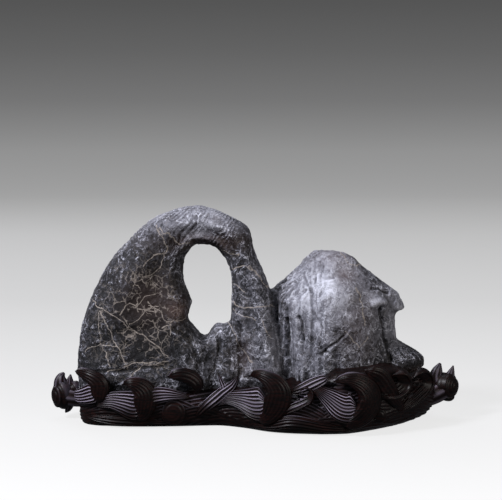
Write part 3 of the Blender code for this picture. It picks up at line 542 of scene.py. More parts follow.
def limestone():
    look = limestoneLook
    material, tree, shader = newMaterial("limestone")
    place = addNode(tree, "TexCoord").outputs["Object"]
    read = {name: addNode(tree, "Attribute", {"attribute_name": name}).outputs["Fac"]
            for name in ("tone", "hollow", "warm", "veinAway", "veinAcross", "network")}

    def noise(size, detail, roughness=0.5, vector=place):
        return addNode(tree, "TexNoise", {"Scale": 1 / (size * mm), "Detail": detail, "Roughness": roughness},
                       Vector=vector).outputs

    def stretched(value, low, high, first=0.0, second=1.0):
        return addNode(tree, "MapRange", {"From Min": low, "From Max": high, "To Min": first, "To Max": second},
                       Value=value).outputs[0]

    def bentBy(vector, source, reach):
        return addNode(tree, "VectorMath", {"operation": "MULTIPLY_ADD", 1: (reach * mm,) * 3},
                       i0=source, i2=vector).outputs[0]

    (bendSize, bendReach), (kinkSize, kinkReach) = look["bend"], look["kink"]
    bend, kink = noise(bendSize, 2.0)["Color"], noise(kinkSize, 2.0)["Color"]
    bent = bentBy(bentBy(place, bend, bendReach), kink, kinkReach)

    def lines(rows, offset):
        # cell edges as lines that come and go, the strongest of all sizes
        total = None
        moved = addNode(tree, "VectorMath", {"operation": "ADD", 1: (offset * mm,) * 3}, i0=bent).outputs[0]
        for cell, half, shown, strength in rows:
            edge = addNode(tree, "TexVoronoi", {"feature": "DISTANCE_TO_EDGE", "Scale": 1 / (cell * mm)},
                           Vector=moved)
            line = stretched(edge.outputs["Distance"], 0.4 * half / cell, 1.2 * half / cell, strength, 0.0)
            line = compute(tree, "MULTIPLY", line, stretched(noise(1.6 * cell, 1.0, 0.5, moved)["Fac"],
                                                             shown, shown + 0.07))
            total = compute(tree, "MAXIMUM", total, line) if total else line
        return total

    mottle = noise(look["mottle"][0], 3.0, 0.6)["Fac"]
    patch = noise(look["patch"][0], 3.0, 0.55, bent)["Fac"]
    size, turns, wrinkleStrength = look["wrinkle"]
    swing = noise(size, 1.5, 0.5, bentBy(place, bend, look["wrinkleBend"]))["Fac"]
    swing = compute(tree, "MULTIPLY", swing, 2 * turns)
    wrinkle = stretched(compute(tree, "PINGPONG", swing, 0.5), 0.0, 0.14, 1.0, 0.0)
    wrinkle = compute(tree, "MULTIPLY", wrinkle, stretched(patch, 0.42, 0.55))
    pale, dark, netted = lines(look["pale"], 0), lines(look["dark"], 31), lines(look["tan"], 57)
    pale = compute(tree, "MULTIPLY", pale, stretched(read["network"], 0.2, 1.0, 1.0, 0.25))
    near = compute(tree, "LESS_THAN", read["veinAway"], 3.2)
    line = stretched(compute(tree, "ABSOLUTE", read["veinAcross"]), 0.6, 1.5, 1.0, 0.0)
    line = compute(tree, "MULTIPLY", compute(tree, "MULTIPLY", line, near), stretched(mottle, 0.38, 0.5, 0.35))
    tan = compute(tree, "MAXIMUM", line, compute(tree, "MULTIPLY", netted, read["network"]))

    marks = compute(tree, "MULTIPLY", compute(tree, "SUBTRACT", mottle, 0.5), look["mottle"][1])
    marks = compute(tree, "MULTIPLY_ADD", compute(tree, "SUBTRACT", patch, 0.5), look["patch"][1], marks)
    marks = compute(tree, "MULTIPLY_ADD", wrinkle, -wrinkleStrength, marks)
    marks = compute(tree, "SUBTRACT", compute(tree, "ADD", marks, pale), dark)
    # painted shade in the hollows and painted light on the ridges
    marks = compute(tree, "MULTIPLY_ADD", read["hollow"], look["hollow"], marks)
    tone = compute(tree, "MULTIPLY_ADD", marks, stretched(read["tone"], 0.1, 0.7, *look["quiet"]), read["tone"])
    ramp = addNode(tree, "ValToRGB", None, Fac=tone)
    stops = ramp.color_ramp.elements
    for index, (position, colour) in enumerate(look["stops"]):
        stop = stops[index] if index < len(stops) else stops.new(position)
        stop.position, stop.color = position, linear(colour)
    warm = compute(tree, "MULTIPLY", read["warm"], look["warmShare"])
    colour = blendColours(tree, warm, ramp.outputs[0], linear(look["warm"]))
    tan = compute(tree, "MULTIPLY", tan, look["veinShare"])
    colour = blendColours(tree, tan, colour, linear(look["vein"]))
    tree.links.new(colour, shader.inputs["Base Color"])
    shader.inputs["IOR"].default_value = 1.5
    shader.inputs["Specular IOR Level"].default_value = look["specular"]
    tree.links.new(stretched(mottle, 0.0, 1.0, *look["roughness"]), shader.inputs["Roughness"])
    height = compute(tree, "SUBTRACT", compute(tree, "ADD", pale, mottle), compute(tree, "ADD", dark, wrinkle))
    bump = addNode(tree, "Bump", {"Strength": look["bump"], "Distance": 1.0 * mm}, Height=height)
    tree.links.new(bump.outputs[0], shader.inputs["Normal"])
    return material


# The stand

standShape = {
    "outline": [(-213, 0), (-211, -20), (-203, -36), (-185, -47), (-150, -53), (-100, -52), (-57, -48),
                (-37, -49), (-10, -62), (15, -79), (40, -88), (75, -93), (110, -96), (140, -89), (170, -72),
                (195, -52), (212, -29), (220, 0), (214, 30), (198, 54), (172, 73), (140, 86), (105, 93),
                (70, 88), (35, 77), (5, 65), (-30, 57), (-70, 55), (-110, 57), (-150, 55), (-185, 47),
                (-204, 32), (-212, 15)],
    "spine": 165,                    # half length of the line that the flank leans towards
    "widest": 26,                    # height of the widest outline
    "foot": [(0, 11), (4, 6.5), (10, 3), (18, 0.8), (26, 0)],                # height, set-in
    "shoulder": [(0, 0), (0.35, 0.8), (0.65, 3), (0.86, 7), (0.97, 12), (1.0, 18), (1.03, 28), (1.05, 42)],
    "flare": [(-214, 0.15), (-198, 0.6), (-180, 0.9), (80, 1.0), (110, 1.5), (138, 2.5), (165, 3.2),
              (220, 3.2)],
    "frontRim": [(-214, 40), (-190, 44), (-60, 43), (20, 44), (48, 50), (72, 60), (96, 74), (150, 76),
                 (185, 70), (205, 58), (220, 46)],
    "backRim": [(-214, 40), (-190, 44), (-60, 44), (20, 45), (60, 52), (100, 62), (150, 64), (185, 60),
                (205, 54), (220, 46)],
    "hollowDepth": 0.4,              # how deep the flank is cut inside a curl, as a share of the curl's size
    "step": 1.0,                     # spacing of the mesh round the flank
    "ribSpacing": 4.3, "ribHeight": 0.7, "layer": 1.1,
}

frontSide, backSide = -1, 1          # sign of y

# Rolling water between the waves, upper rows first: crest x, crest z, half length, drop to its ends
frontSwells = [
    (-196, 40, 30, 12), (-150, 40, 46, 14), (-104, 38, 34, 12), (-20, 42, 40, 10), (46, 46, 34, 12),
    (150, 62, 60, 20), (196, 46, 26, 14),
    (-176, 24, 44, 16), (-66, 27, 40, 15), (20, 20, 56, 14), (92, 24, 50, 18), (176, 30, 46, 18),
    (-130, 11, 52, 12), (-40, 15, 46, 14), (58, 22, 64, 18), (140, 15, 46, 14), (196, 16, 30, 12),
]
backSwells = [
    (-190, 40, 40, 12), (-130, 40, 40, 12), (-70, 42, 40, 12), (-10, 44, 44, 12), (60, 52, 46, 16),
    (120, 60, 44, 18), (180, 52, 40, 18),
    (-160, 24, 46, 16), (-96, 23, 44, 15), (-40, 24, 44, 15), (26, 26, 50, 16), (96, 28, 50, 18),
    (160, 28, 46, 18), (-190, 12, 40, 12), (-124, 12, 46, 12), (-62, 12, 46, 12), (0, 13, 50, 12),
    (66, 14, 50, 14), (132, 14, 46, 14), (190, 14, 34, 12),
]

# Carved waves on the front. A fan is a band whose ribs run along it up into a hood, and a hood is a smooth
# crescent that curls over the fan to the left. Rows: x, z, half width, outward lift, lean of the outer
# edge towards the viewer in degrees
frontFans = [
    [(-222, 31, 3, 1, 0), (-213, 33, 7, 3, 0), (-203, 37, 10, 5, 0), (-193, 42, 12, 5, 0),
     (-184, 46, 12, 3, 0)],
    [(-196, 29, 3, 0, 0), (-184, 31, 7, 1, 0), (-170, 34, 11, 2, 0), (-156, 32, 15, 2.5, 0),
     (-144, 29, 18, 2.5, 0), (-134, 31, 17, 2, 0)],
    [(-132, 36, 10, 1.5, 0), (-118, 41, 10, 2, 0), (-104, 42, 8, 2, 0), (-90, 40, 5, 1, 0),
     (-76, 37, 2, 0, 0)],
    [(-72, 12, 3, 0, 0), (-56, 29, 6.5, 2, 8), (-38, 43, 7, 3, 10), (-25, 54, 5, 2.5, 5),
     (-18, 67, 1.4, 2, 0)],
    [(-44, 32, 2.5, 1, 0), (-38, 42, 4, 2, 0), (-36, 50, 3.5, 3, 0), (-40, 59, 2.5, 2.5, 0),
     (-44, 68, 0.9, 2, 0)],
    [(-66, 20, 3, 0, 0), (-50, 30, 6, 1, 0), (-32, 37, 8, 2, 0), (-14, 37, 13, 2.5, 0), (3, 35, 20, 3, 0),
     (18, 38, 19, 2, 0)],
    [(62, 59, 3, 1, 0), (74, 56, 6, 2, 0), (88, 47, 12, 3, 0), (104, 36, 18, 3, 0), (120, 36, 19, 2, 0)],
    [(40, 50, 3, 0, 0), (55, 57, 6, 1, 0), (72, 65, 7, 2, 10), (88, 73, 4, 3, 10)],
    [(-206, 12, 2, 0, 0), (-170, 10, 6, 1, 0), (-120, 7, 5, 0.5, 0), (-90, 6, 2, 0, 0)],
    [(-10, 6, 2, 0, 0), (20, 11, 6, 1, 0), (46, 17, 8, 1.5, 0), (84, 11, 6, 1, 0), (128, 7, 2, 0, 0)],
]
frontHoods = [
    [(-186, 28, 3, 3, -15), (-184, 42, 10, 5, -18), (-184, 54, 11, 6, -18), (-191, 62, 9, 7, -12),
     (-202, 66, 6, 7, -5), (-212, 63, 2, 6, 0)],
    [(-146, 10, 3, 2, -10), (-134, 19, 10, 3, -18), (-130, 33, 15, 4, -20), (-131.5, 46, 14, 5, -20),
     (-141, 55, 10, 6, -12), (-152, 57, 5, 6, -5), (-158, 53, 1.5, 5, 0)],
    [(-70, 42, 3, 3, -10), (-69, 54, 8, 4, -15), (-77, 63, 9, 5, -10), (-90, 67, 8, 6, -5),
     (-104, 64, 5, 5, 0)],
    [(2, 15, 3, 2, -10), (17, 21, 10, 3, -18), (27, 37, 16, 4, -20), (29, 54, 15, 5, -20),
     (20, 67, 10, 6, -14), (7, 72, 6, 6, -5), (-4, 67, 2, 5, 0)],
    [(102, 15, 4, 2, -10), (119, 20, 11, 3, -18), (132, 34, 16, 4, -20), (134, 50, 16, 5, -20),
     (125, 64, 12, 6, -14), (110, 71, 8, 6, -6), (92, 67, 2.5, 5, 0)],
    [(128, 80, 6, 2, -10), (144, 72, 11, 2, -15), (156, 54, 11, 2, -15), (170, 34, 6, 1, -10),
     (184, 24, 2, 0, 0)],
]
# Small curls with a hollow of their own
frontCurls = [
    [(30, 24, 2, 0, 0), (42, 32, 5, 1, 8), (54, 38, 5, 3, 20), (64, 44, 4.5, 4, 25), (66, 53, 4, 4, 25),
     (60, 57.5, 3.5, 4, 25), (53, 53, 3, 4, 20)],
    [(140, 46, 3, 0, 0), (152, 50, 8, 1, 15), (165, 50, 10, 2, 30), (175, 58, 10, 3, 38), (172, 68, 8, 4, 40),
     (162, 71, 4, 3, 30)],
    [(168, 24, 3, 0, 0), (182, 34, 8, 1, 15), (195, 42, 9, 2, 28), (204, 51, 9, 3, 36), (203, 61, 8, 3, 38),
     (196, 67, 6, 3, 38), (188, 63, 4, 2, 30)],
]
# Whorls on the front: x, z, radius, turns; and how far they stand out
frontWhorls = [(-98, 20, 15, 3.2), (147, 24, 9, 2.4)]
whorlDepth = 4
# Waves along the back, all alike: place along x, foot z, size; and their fan and hood in shares of the size
backWavePlaces = [(-172, 10, 52), (-124, 8, 46), (-78, 10, 50), (-30, 8, 54), (24, 9, 60), (82, 10, 62),
                  (138, 12, 56)]
backFan = [(-0.3, 0.38, 0.06, 0, 0), (-0.06, 0.43, 0.14, 0.02, 0), (0.22, 0.48, 0.22, 0.04, 0),
           (0.5, 0.44, 0.3, 0.05, 0), (0.74, 0.38, 0.36, 0.05, 0), (0.94, 0.42, 0.34, 0.04, 0)]
backHood = [(0.68, 0, 0.06, 0.04, -10), (0.92, 0.18, 0.2, 0.06, -18), (1.0, 0.46, 0.3, 0.08, -20),
            (0.97, 0.72, 0.28, 0.1, -20), (0.78, 0.9, 0.2, 0.12, -12), (0.56, 0.94, 0.1, 0.12, -5),
            (0.44, 0.86, 0.03, 0.1, 0)]
# A band narrows over its last millimetres at each end, which is its taper
waveBand = {"face": 4.5, "hoodFace": 5.5, "backing": 10, "ribSpacing": 4.4, "ribHeight": 0.9,
            "lipHeight": 1.6, "scoop": 1.5, "step": 1.6, "backStep": 2.2, "taper": 9.0}
waveWeb = {"start": 0.36, "depth": 0.12, "behind": 0.6, "thickness": 9.0, "bulge": 0.4, "sink": 9.0,
           "ribSpacing": 4.0, "ribHeight": 0.8, "samples": 1.6}

# Curled knobs at both ends. Balls carved with a whorl: centre, radii, turns of the whorl; and how far each
# whorl turns from the front towards its own end, in radians
endAim = 0.9
endKnobs = [
    ((-235, 0, 30), (13.5, 15, 18), 3.0), ((-220, 0, 38), (8, 10, 9), 2.0),
    ((233, 0, 41), (16.5, 15, 17), 3.2), ((237, 0, 27), (8, 9, 5), 1.5), ((214, 0, 40), (9, 14, 9), 2.0),
]
# Horns and necks: half depth in y, rows of x, z, half width
endCurls = [
    (14, [(-198, 24, 9), (-212, 26, 11), (-226, 28, 12), (-234, 30, 11)]),
    (9, [(-236, 38, 10), (-237, 47, 8), (-236, 53, 5), (-233, 57, 1.5)]),
    (5, [(-226, 40, 6), (-226, 48, 4), (-225, 55, 0.8)]),
    (6, [(-227, 20, 7), (-229, 12, 4), (-232, 7.5, 0.8)]),
    (14, [(202, 26, 12), (216, 30, 13), (232, 38, 13)]),
    (9, [(225, 40, 10), (222, 52, 8), (224, 61, 6), (227, 69, 1.5)]),
    (7, [(236, 46, 9), (240, 56, 5), (243, 66, 0.8)]),
]


def wornAndLitCrests(points, crest):
    # how much of each rib's crest is painted pale, as wear and as a painted highlight: least near the foot and
    # towards the right end, which stand in shade
    x, z = points[:, 0], points[:, 2]
    return np.clip(crest, 0, 1) * (0.02 + 0.98 * smoothStep(z, 12, 34)) * (1 - 0.8 * smoothStep(x, 128, 160))


def readTable(rows, x):
    return np.interp(x, *np.array(rows, float).T)


def curlHollow(rows):
    # middle and radius of a wave's curl, from the part of its path after the throat
    path = smoothCurve(rows, 60)[24:, :2]
    middle = path.mean(0)
    return middle, np.linalg.norm(path - middle, axis=1).mean()


def backRows(unit, place):
    x, z, size = place
    return np.array(unit, float) * [size, size, size, size, 1] + [x - 0.4 * size, z, 0, 0, 0]


def flankProfile(x, y, level):
    # height and set-in of the flank: level 0 is the foot, 1 the widest line, 2 the rim
    front = np.clip(0.5 - y / 40, 0, 1)
    rim = front * readTable(standShape["frontRim"], x) + (1 - front) * readTable(standShape["backRim"], x)
    widest = standShape["widest"]
    footZ = widest * min(level, 1)
    footInset = readTable(standShape["foot"], footZ) * readTable(standShape["flare"], x)
    if level <= 1:
        return np.full(len(x), footZ), footInset
    share = level - 1
    inset = readTable(standShape["shoulder"], share)
    return widest + share * (rim - widest), np.full(len(x), inset)


def rollingWater(x, z, swells):
    # ribs at equal depths under the crest line of the nearest swell, each swell a layer above the last
    spacing, height = standShape["ribSpacing"], standShape["ribHeight"]
    crest = np.cos(2 * math.pi * (z + 3 * np.sin(x / 23)) / spacing)
    layer = np.zeros(len(x))
    for swellX, swellZ, half, drop in swells:
        share = np.abs(x - swellX) / half
        below = swellZ - drop * share ** 1.8 - z
        inside = (below > 0) & (share < 1.15)
        edge = standShape["layer"] * (1 - 0.6 * smoothStep(below, 0, 14))
        layer = np.where(inside, edge, layer)
        crest = np.where(inside, np.cos(2 * math.pi * (below - 0.8) / spacing), crest)
    return layer + height * crest, crest


def makeStandBody():
    # the flank: the outline set in towards the spine level by level, with the swells' relief added outwards
    outline = evenCurve(standShape["outline"], standShape["step"], closed=True)
    x, y = outline.T
    spine = np.column_stack([np.clip(x, -standShape["spine"], standShape["spine"]), np.zeros(len(x))])
    outward = outline - spine
    reach = np.linalg.norm(outward, axis=1)
    outward = outward / reach[:, None]
    hollows = [curlHollow(rows) for rows in frontCurls]
    levels = np.concatenate([np.linspace(0, 1, 24)[:-1], np.linspace(1, 2, 34), [2.03, 2.05]])
    rings, crests = [], []
    for level in levels:
        z, inset = flankProfile(x, y, level)
        for middle, radius in hollows:
            near = np.exp(-((x - middle[0]) ** 2 + (z - middle[1]) ** 2) / (1.1 * radius) ** 2)
            inset = inset + standShape["hollowDepth"] * radius * near * (y < 0)
        relief, crest = np.where(y < 0, rollingWater(x, z, frontSwells), rollingWater(x, z, backSwells))
        kept = smoothStep(z, 0, 2.5) * (1 - smoothStep(np.full(len(x), level), 1.88, 1.96))
        relief, crest = relief * kept, crest * kept
        point = outline - outward * np.minimum(inset - relief, 0.8 * reach)[:, None]
        rings.append(np.column_stack([point, z]))
        crests.append(crest)
    points, quads, triangles = loft(np.array(rings))
    # the swells' rib crests, painted pale as wear and painted highlight
    wearAndHighlight = np.concatenate(crests + [[0, 0]])
    return addPiece("stand_body", points, quads, triangles, {"wearAndHighlight": 0.5 * wornAndLitCrests(points, wearAndHighlight)})


def flankPlace(x, z, side):
    # y, outward direction and set-in of the flank above (x, z)
    outline = evenCurve(standShape["outline"], 4.0, closed=True)
    edge = outline[outline[:, 1] * side > 0]
    edge = edge[np.argsort(edge[:, 0])]
    y = np.interp(x, edge[:, 0], edge[:, 1])
    slope = (np.interp(x + 6, edge[:, 0], edge[:, 1]) - np.interp(x - 6, edge[:, 0], edge[:, 1])) / 12
    normal = np.column_stack([-slope, np.ones(len(x))]) * side
    normal = normal / np.linalg.norm(normal, axis=1)[:, None]
    inset = readTable(standShape["foot"], z) * readTable(standShape["flare"], x)
    return y, normal, inset


def makeWave(name, rows, side, kind):
    # a band carried along its path, its section a flattened oval whose face has ribs, as cosines of the
    # distance across: whole on a fan, faint on a hood, and on a curl fading where the band hooks over,
    # where it is scooped and its outer edge swells to a lip
    step = waveBand["step"] if side < 0 else waveBand["backStep"]
    curve = evenCurve(rows, step)
    x, z, half, lift, lean = curve.T
    steps = len(x)
    y, normal, inset = flankPlace(x, z, side)
    out = lift - inset
    path = np.column_stack([x + normal[:, 0] * out, y + normal[:, 1] * out, z])
    heading = np.gradient(path, axis=0)
    heading = heading / np.linalg.norm(heading, axis=1)[:, None]
    outward = np.column_stack([normal, np.zeros(steps)])
    away = -side * np.cross(heading, outward)
    away = away / np.linalg.norm(away, axis=1)[:, None]
    lean = np.radians(lean)[:, None]
    across = away * np.cos(lean) + outward * np.sin(lean)
    face = outward * np.cos(lean) - away * np.sin(lean)
    ribs = max(2, int(round(2 * half.max() / waveBand["ribSpacing"])))
    samples = 8 * ribs if side < 0 else 6 * ribs
    onFace = np.linspace(0, math.pi, samples, endpoint=False)
    onBack = np.linspace(math.pi, 2 * math.pi, 14, endpoint=False)
    turn = np.concatenate([onFace, onBack])
    wide = signedPower(np.cos(turn), 0.8)
    deep = signedPower(np.sin(turn), 0.8)
    share = np.linspace(0, 1, steps)[:, None]
    ends = np.minimum(share, 1 - share)[:, 0] * steps * step
    half = np.maximum(half * (0.2 + 0.8 * smoothStep(ends, -1, waveBand["taper"])), 0.5)
    depth = np.where(np.sin(turn) > 0, waveBand["hoodFace" if kind == "hood" else "face"], waveBand["backing"])
    depth = depth * np.clip(half / 8, 0.1, 1)[:, None]
    hooked = kind == "curl"
    fade = {"curl": 1 - smoothStep(share, 0.46, 0.62), "hood": 0.35 + 0 * share, "fan": 1 + 0 * share}[kind]
    lip = smoothStep(wide, 0.55, 0.8) * (np.sin(turn) > 0) if hooked else 0 * wide
    ribMask = np.clip(np.sin(turn) * 3, 0, 1) * (np.sin(turn) > 0) * (1 - lip)
    relief = waveBand["ribHeight"] * np.cos(math.pi * ribs * (wide + 1)) * ribMask
    size = np.clip(half / half.max() * 1.3, 0.1, 1)[:, None]
    relief = relief[None, :] * fade * size
    rim = waveBand["lipHeight"] * lip[None, :] * smoothStep(share, 0.1, 0.35) * size
    middleOfFace = np.clip(np.sin(turn), 0, 1)[None, :] ** 2
    scoop = -waveBand["scoop"] * middleOfFace * size * smoothStep(share, 0.15, 0.4) if hooked else 0
    rings = (path[:, None, :] + across[:, None, :] * (half[:, None] * wide)[:, :, None]
             + face[:, None, :] * (depth * deep + relief + rim + scoop)[:, :, None])
    points, quads, triangles = loft(rings)
    points[:, 2] = np.maximum(points[:, 2], 0)
    # painted highlight along the hood's beak edge and on the rib crests and lip, with some wear
    beakHighlight = 0.5 * smoothStep(share, 0.6, 0.85) * smoothStep(wide, 0.8, 0.95) if kind == "hood" else 0 * share
    shine = {"curl": 0.8, "hood": 0.25, "fan": 1.0}[kind] * smoothStep(share, 0.1, 0.4)
    wearAndHighlight = shine * np.clip(relief / waveBand["ribHeight"], 0, 1) + 0.08 * rim + beakHighlight
    wearAndHighlight = np.concatenate([wearAndHighlight.ravel(), [0, 0]])
    return addPiece(name, points, quads, triangles, {"wearAndHighlight": wornAndLitCrests(points, wearAndHighlight)})


def makeWeb(name, rows, side):
    # the wall inside a curl: a dish whose rim follows the band's path from its throat to its tip and comes
    # back over the open side, where it dives under the flank. Its depth grows as 1 - t^2 towards the eye,
    # and its ribs are cosines of the height, bent up towards the hood
    style = waveWeb
    curve = evenCurve(rows, 2.0)
    curve = curve[int(style["start"] * len(curve)):]
    middle, radius = curlHollow(rows)
    part = np.linspace(0, 1, 18)[1:-1, None]
    closing = curve[-1] + (curve[0] - curve[-1]) * part
    open_ = (curve[-1] + curve[0])[:2] / 2 - middle
    open_ = open_ / max(np.linalg.norm(open_), 1)
    closing[:, :2] += open_ * style["bulge"] * radius * np.sin(math.pi * part)
    rim = np.vstack([curve, closing])
    sink = np.concatenate([np.zeros(len(curve)), style["sink"] * np.sin(math.pi * part[:, 0])])
    x, z, half, lift, lean = rim.T
    y, normal, inset = flankPlace(x, z, side)
    out = lift - inset - sink
    edge = np.column_stack([x + normal[:, 0] * out, y + normal[:, 1] * out, z])
    outward = np.column_stack([normal, np.zeros(len(x))])
    eyeY, eyeNormal, eyeInset = flankPlace(middle[:1], middle[1:], side)
    eye = np.array([middle[0], eyeY[0], middle[1]]) + np.append(eyeNormal[0] * (lift.mean() - eyeInset[0]), 0)
    share = np.linspace(0.03, 1, int(radius * style["samples"]))[:, None, None]
    dish = eye + (edge - eye) * share
    rise = dish[:, :, 2:] - 0.012 * (dish[:, :, :1] - middle[0] + radius) ** 2
    ribs = style["ribHeight"] * np.cos(2 * math.pi * rise / style["ribSpacing"]) * (1 - smoothStep(share, 0.78, 1))
    depth = -style["depth"] * radius * (1 - share ** 2) - style["behind"]
    front = dish + outward * (depth + ribs)
    back = dish[::6] + outward * (depth[::6] - style["thickness"])
    points, quads, triangles = loft(np.concatenate([front, back[::-1]]))
    points[:, 2] = np.maximum(points[:, 2], 0)
    # the web's rib crests, painted pale as wear and painted highlight
    wearAndHighlight = np.concatenate([(ribs / style["ribHeight"]).ravel(), np.zeros(back.shape[0] * back.shape[1]), [0, 0]])
    return addPiece(name, points, quads, triangles, {"wearAndHighlight": wornAndLitCrests(points, wearAndHighlight)})


def makeCurl(name, halfDepth, rows):
    # a horn carried along its path in the x-z plane, fluted along its length
    curve = evenCurve(rows, 1.2)
    x, z, half = curve.T
    steps = len(x)
    heading = np.gradient(curve[:, :2], axis=0)
    heading = heading / np.linalg.norm(heading, axis=1)[:, None]
    across = np.column_stack([-heading[:, 1], np.zeros(steps), heading[:, 0]])
    turn = np.linspace(0, 2 * math.pi, 40, endpoint=False)
    half = np.maximum(half, 0.8)
    depth = halfDepth * (half / half.max()) ** 0.8
    fluting = 1 + 0.05 * np.cos(8 * turn)
    path = np.column_stack([x, np.zeros(steps), z])
    rings = (path[:, None, :] + across[:, None, :] * (half[:, None] * np.cos(turn) * fluting)[:, :, None]
             + np.array([0, 1, 0]) * (depth[:, None] * np.sin(turn) * fluting)[:, :, None])
    points, quads, triangles = loft(rings)
    # the flutes' crests, painted pale as wear and painted highlight
    wearAndHighlight = np.concatenate([np.tile(0.5 + 0.5 * np.cos(8 * turn), steps), [0, 0]])
    return addPiece(name, points, quads, triangles, {"wearAndHighlight": 0.5 * wearAndHighlight})


def makeKnob(name, centre, radii, turns, aim=0.0):
    # an ellipsoid cut by a spiral groove that winds in towards the middle of its front and of its back,
    # turned by aim towards an end: the groove's phase is the polar angle plus turns times the distance
    around, levels = 72, 48
    polar = np.linspace(0, 2 * math.pi, around, endpoint=False)[None, :]
    tilt = np.linspace(0.02, math.pi - 0.02, levels)[:, None]
    x, z, y = np.sin(tilt) * np.cos(polar), np.sin(tilt) * np.sin(polar), -np.cos(tilt) + 0 * polar
    groove = np.cos(polar + 2 * math.pi * turns * np.sin(tilt)) * np.sin(tilt)
    x, y = x * math.cos(aim) - y * math.sin(aim), x * math.sin(aim) + y * math.cos(aim)
    swell = 1 + 0.06 * groove
    rings = np.stack([x * swell, y * swell, z * swell], -1) * np.array(radii) + np.array(centre)
    points, quads, triangles = loft(rings)
    # the whorl's ridges, painted pale as wear and painted highlight
    wearAndHighlight = np.concatenate([0.35 * np.clip(groove, 0, 1).ravel(), [0, 0]])
    return addPiece(name, points, quads, triangles, {"wearAndHighlight": wornAndLitCrests(points, wearAndHighlight)})


# Waxed rosewood: nearly black wood carved, scraped and rubbed with dark wax. The wax gives a soft sheen
# on every rib, the crests are painted pale as rubbed wear and as a painted highlight, and a red-brown shows only
# where light falls in.
rosewoodLook = {
    # crest: the pale lavender of rubbed crests and of the painted highlight on them
    "dark": "#050303", "red": "#2a110d", "crest": "#c3b8cc",
    "grain": 1.6, "grainLength": 14.0,                       # width in mm, length in widths
    "roughness": (0.34, 0.5), "specular": 0.18, "coat": (0.04, 0.3), "bump": 0.2,
    "wornAndLit": (2.2, 0.85),             # power that narrows the pale crests, and the share of their colour: wear and painted highlight
}


def rosewood():
    look = rosewoodLook
    material, tree, shader = newMaterial("waxed_rosewood")
    place = addNode(tree, "TexCoord").outputs["Object"]
    wearAndHighlight = addNode(tree, "Attribute", {"attribute_name": "wearAndHighlight"}).outputs["Fac"]
    along = addNode(tree, "Mapping", {"Scale": (1 / look["grainLength"], 1, 1)}, Vector=place).outputs[0]
    grain = addNode(tree, "TexNoise", {"Scale": 1 / (look["grain"] * mm), "Detail": 4.0},
                    Vector=along).outputs["Fac"]
    patch = addNode(tree, "TexNoise", {"Scale": 45.0, "Detail": 2.0}, Vector=place).outputs["Fac"]
    streak = addNode(tree, "MapRange", {"From Min": 0.4, "From Max": 0.65}, Value=grain).outputs[0]
    streak = compute(tree, "MULTIPLY", streak, patch)
    colour = blendColours(tree, streak, linear(look["dark"]), linear(look["red"]))
    narrowing, wornAndLitShare = look["wornAndLit"]
    # crests painted pale: wear and painted highlight
    crest = compute(tree, "MULTIPLY", compute(tree, "POWER", wearAndHighlight, narrowing), wornAndLitShare)
    colour = blendColours(tree, crest, colour, linear(look["crest"]))
    tree.links.new(colour, shader.inputs["Base Color"])
    low, high = look["roughness"]
    rough = addNode(tree, "MapRange", {"To Min": low, "To Max": high}, Value=patch)
    tree.links.new(rough.outputs[0], shader.inputs["Roughness"])
    shader.inputs["IOR"].default_value = 1.5
    shader.inputs["Specular IOR Level"].default_value = look["specular"]
    shader.inputs["Coat Weight"].default_value = look["coat"][0]
    shader.inputs["Coat Roughness"].default_value = look["coat"][1]
    bump = addNode(tree, "Bump", {"Strength": look["bump"], "Distance": 0.3 * mm}, Height=grain)
    tree.links.new(bump.outputs[0], shader.inputs["Normal"])
    return material


# Stage, lights and camera

stageLook = {
    "distance": 2.5, "curve": 0.6,   # metres behind the object, radius of the curve up
    "near": -4.0, "top": 5.0, "halfWidth": 5.0,
    "emission": 0.88,                # share of the gradient that is given off, the rest is lit
    # metres along and up the sheet, grey level
    "greys": [(-0.35, "#fafafa"), (-0.16, "#f4f4f4"), (0.12, "#ececec"), (0.44, "#e2e2e2"),
              (0.89, "#d4d4d4"), (1.76, "#c3c3c3"), (2.47, "#acacac"), (2.92, "#979797"), (3.20, "#797979"),
              (3.42, "#666666"), (3.60, "#585858")],
}
cameraLook = {"place": (-0.0043, -2.1666, 0.507), "aim": (-0.0043, 0.0, 0.2087), "lens": 129.4,
              "sensor": 36.0}
lightLook = [
    # name, place, aim, size, power, colour
    ("key", (-1.5, -1.2, 1.7), (0, 0, 0.1), 0.5, 72, "#f6f6ff"),
    ("top", (-0.1, 0.4, 2.2), (0, 0, 0.1), 1.2, 10, "#eef1ff"),
    ("fill", (1.7, -1.5, 0.8), (0, 0, 0.1), 1.2, 16, "#fff8f2"),
    ("back", (-0.9, 1.7, 1.1), (0, 0, 0.1), 1.4, 16, "#f4f4ff"),
]
worldLook = {"colour": "#dfe3ee", "level": 0.13}


def turnTo(item, aim):
    direction = np.array(aim) - np.array(item.location)
    flat = math.hypot(direction[0], direction[1])
    item.rotation_euler = (math.pi / 2 + math.atan2(direction[2], flat), 0,
                           math.atan2(direction[1], direction[0]) - math.pi / 2)


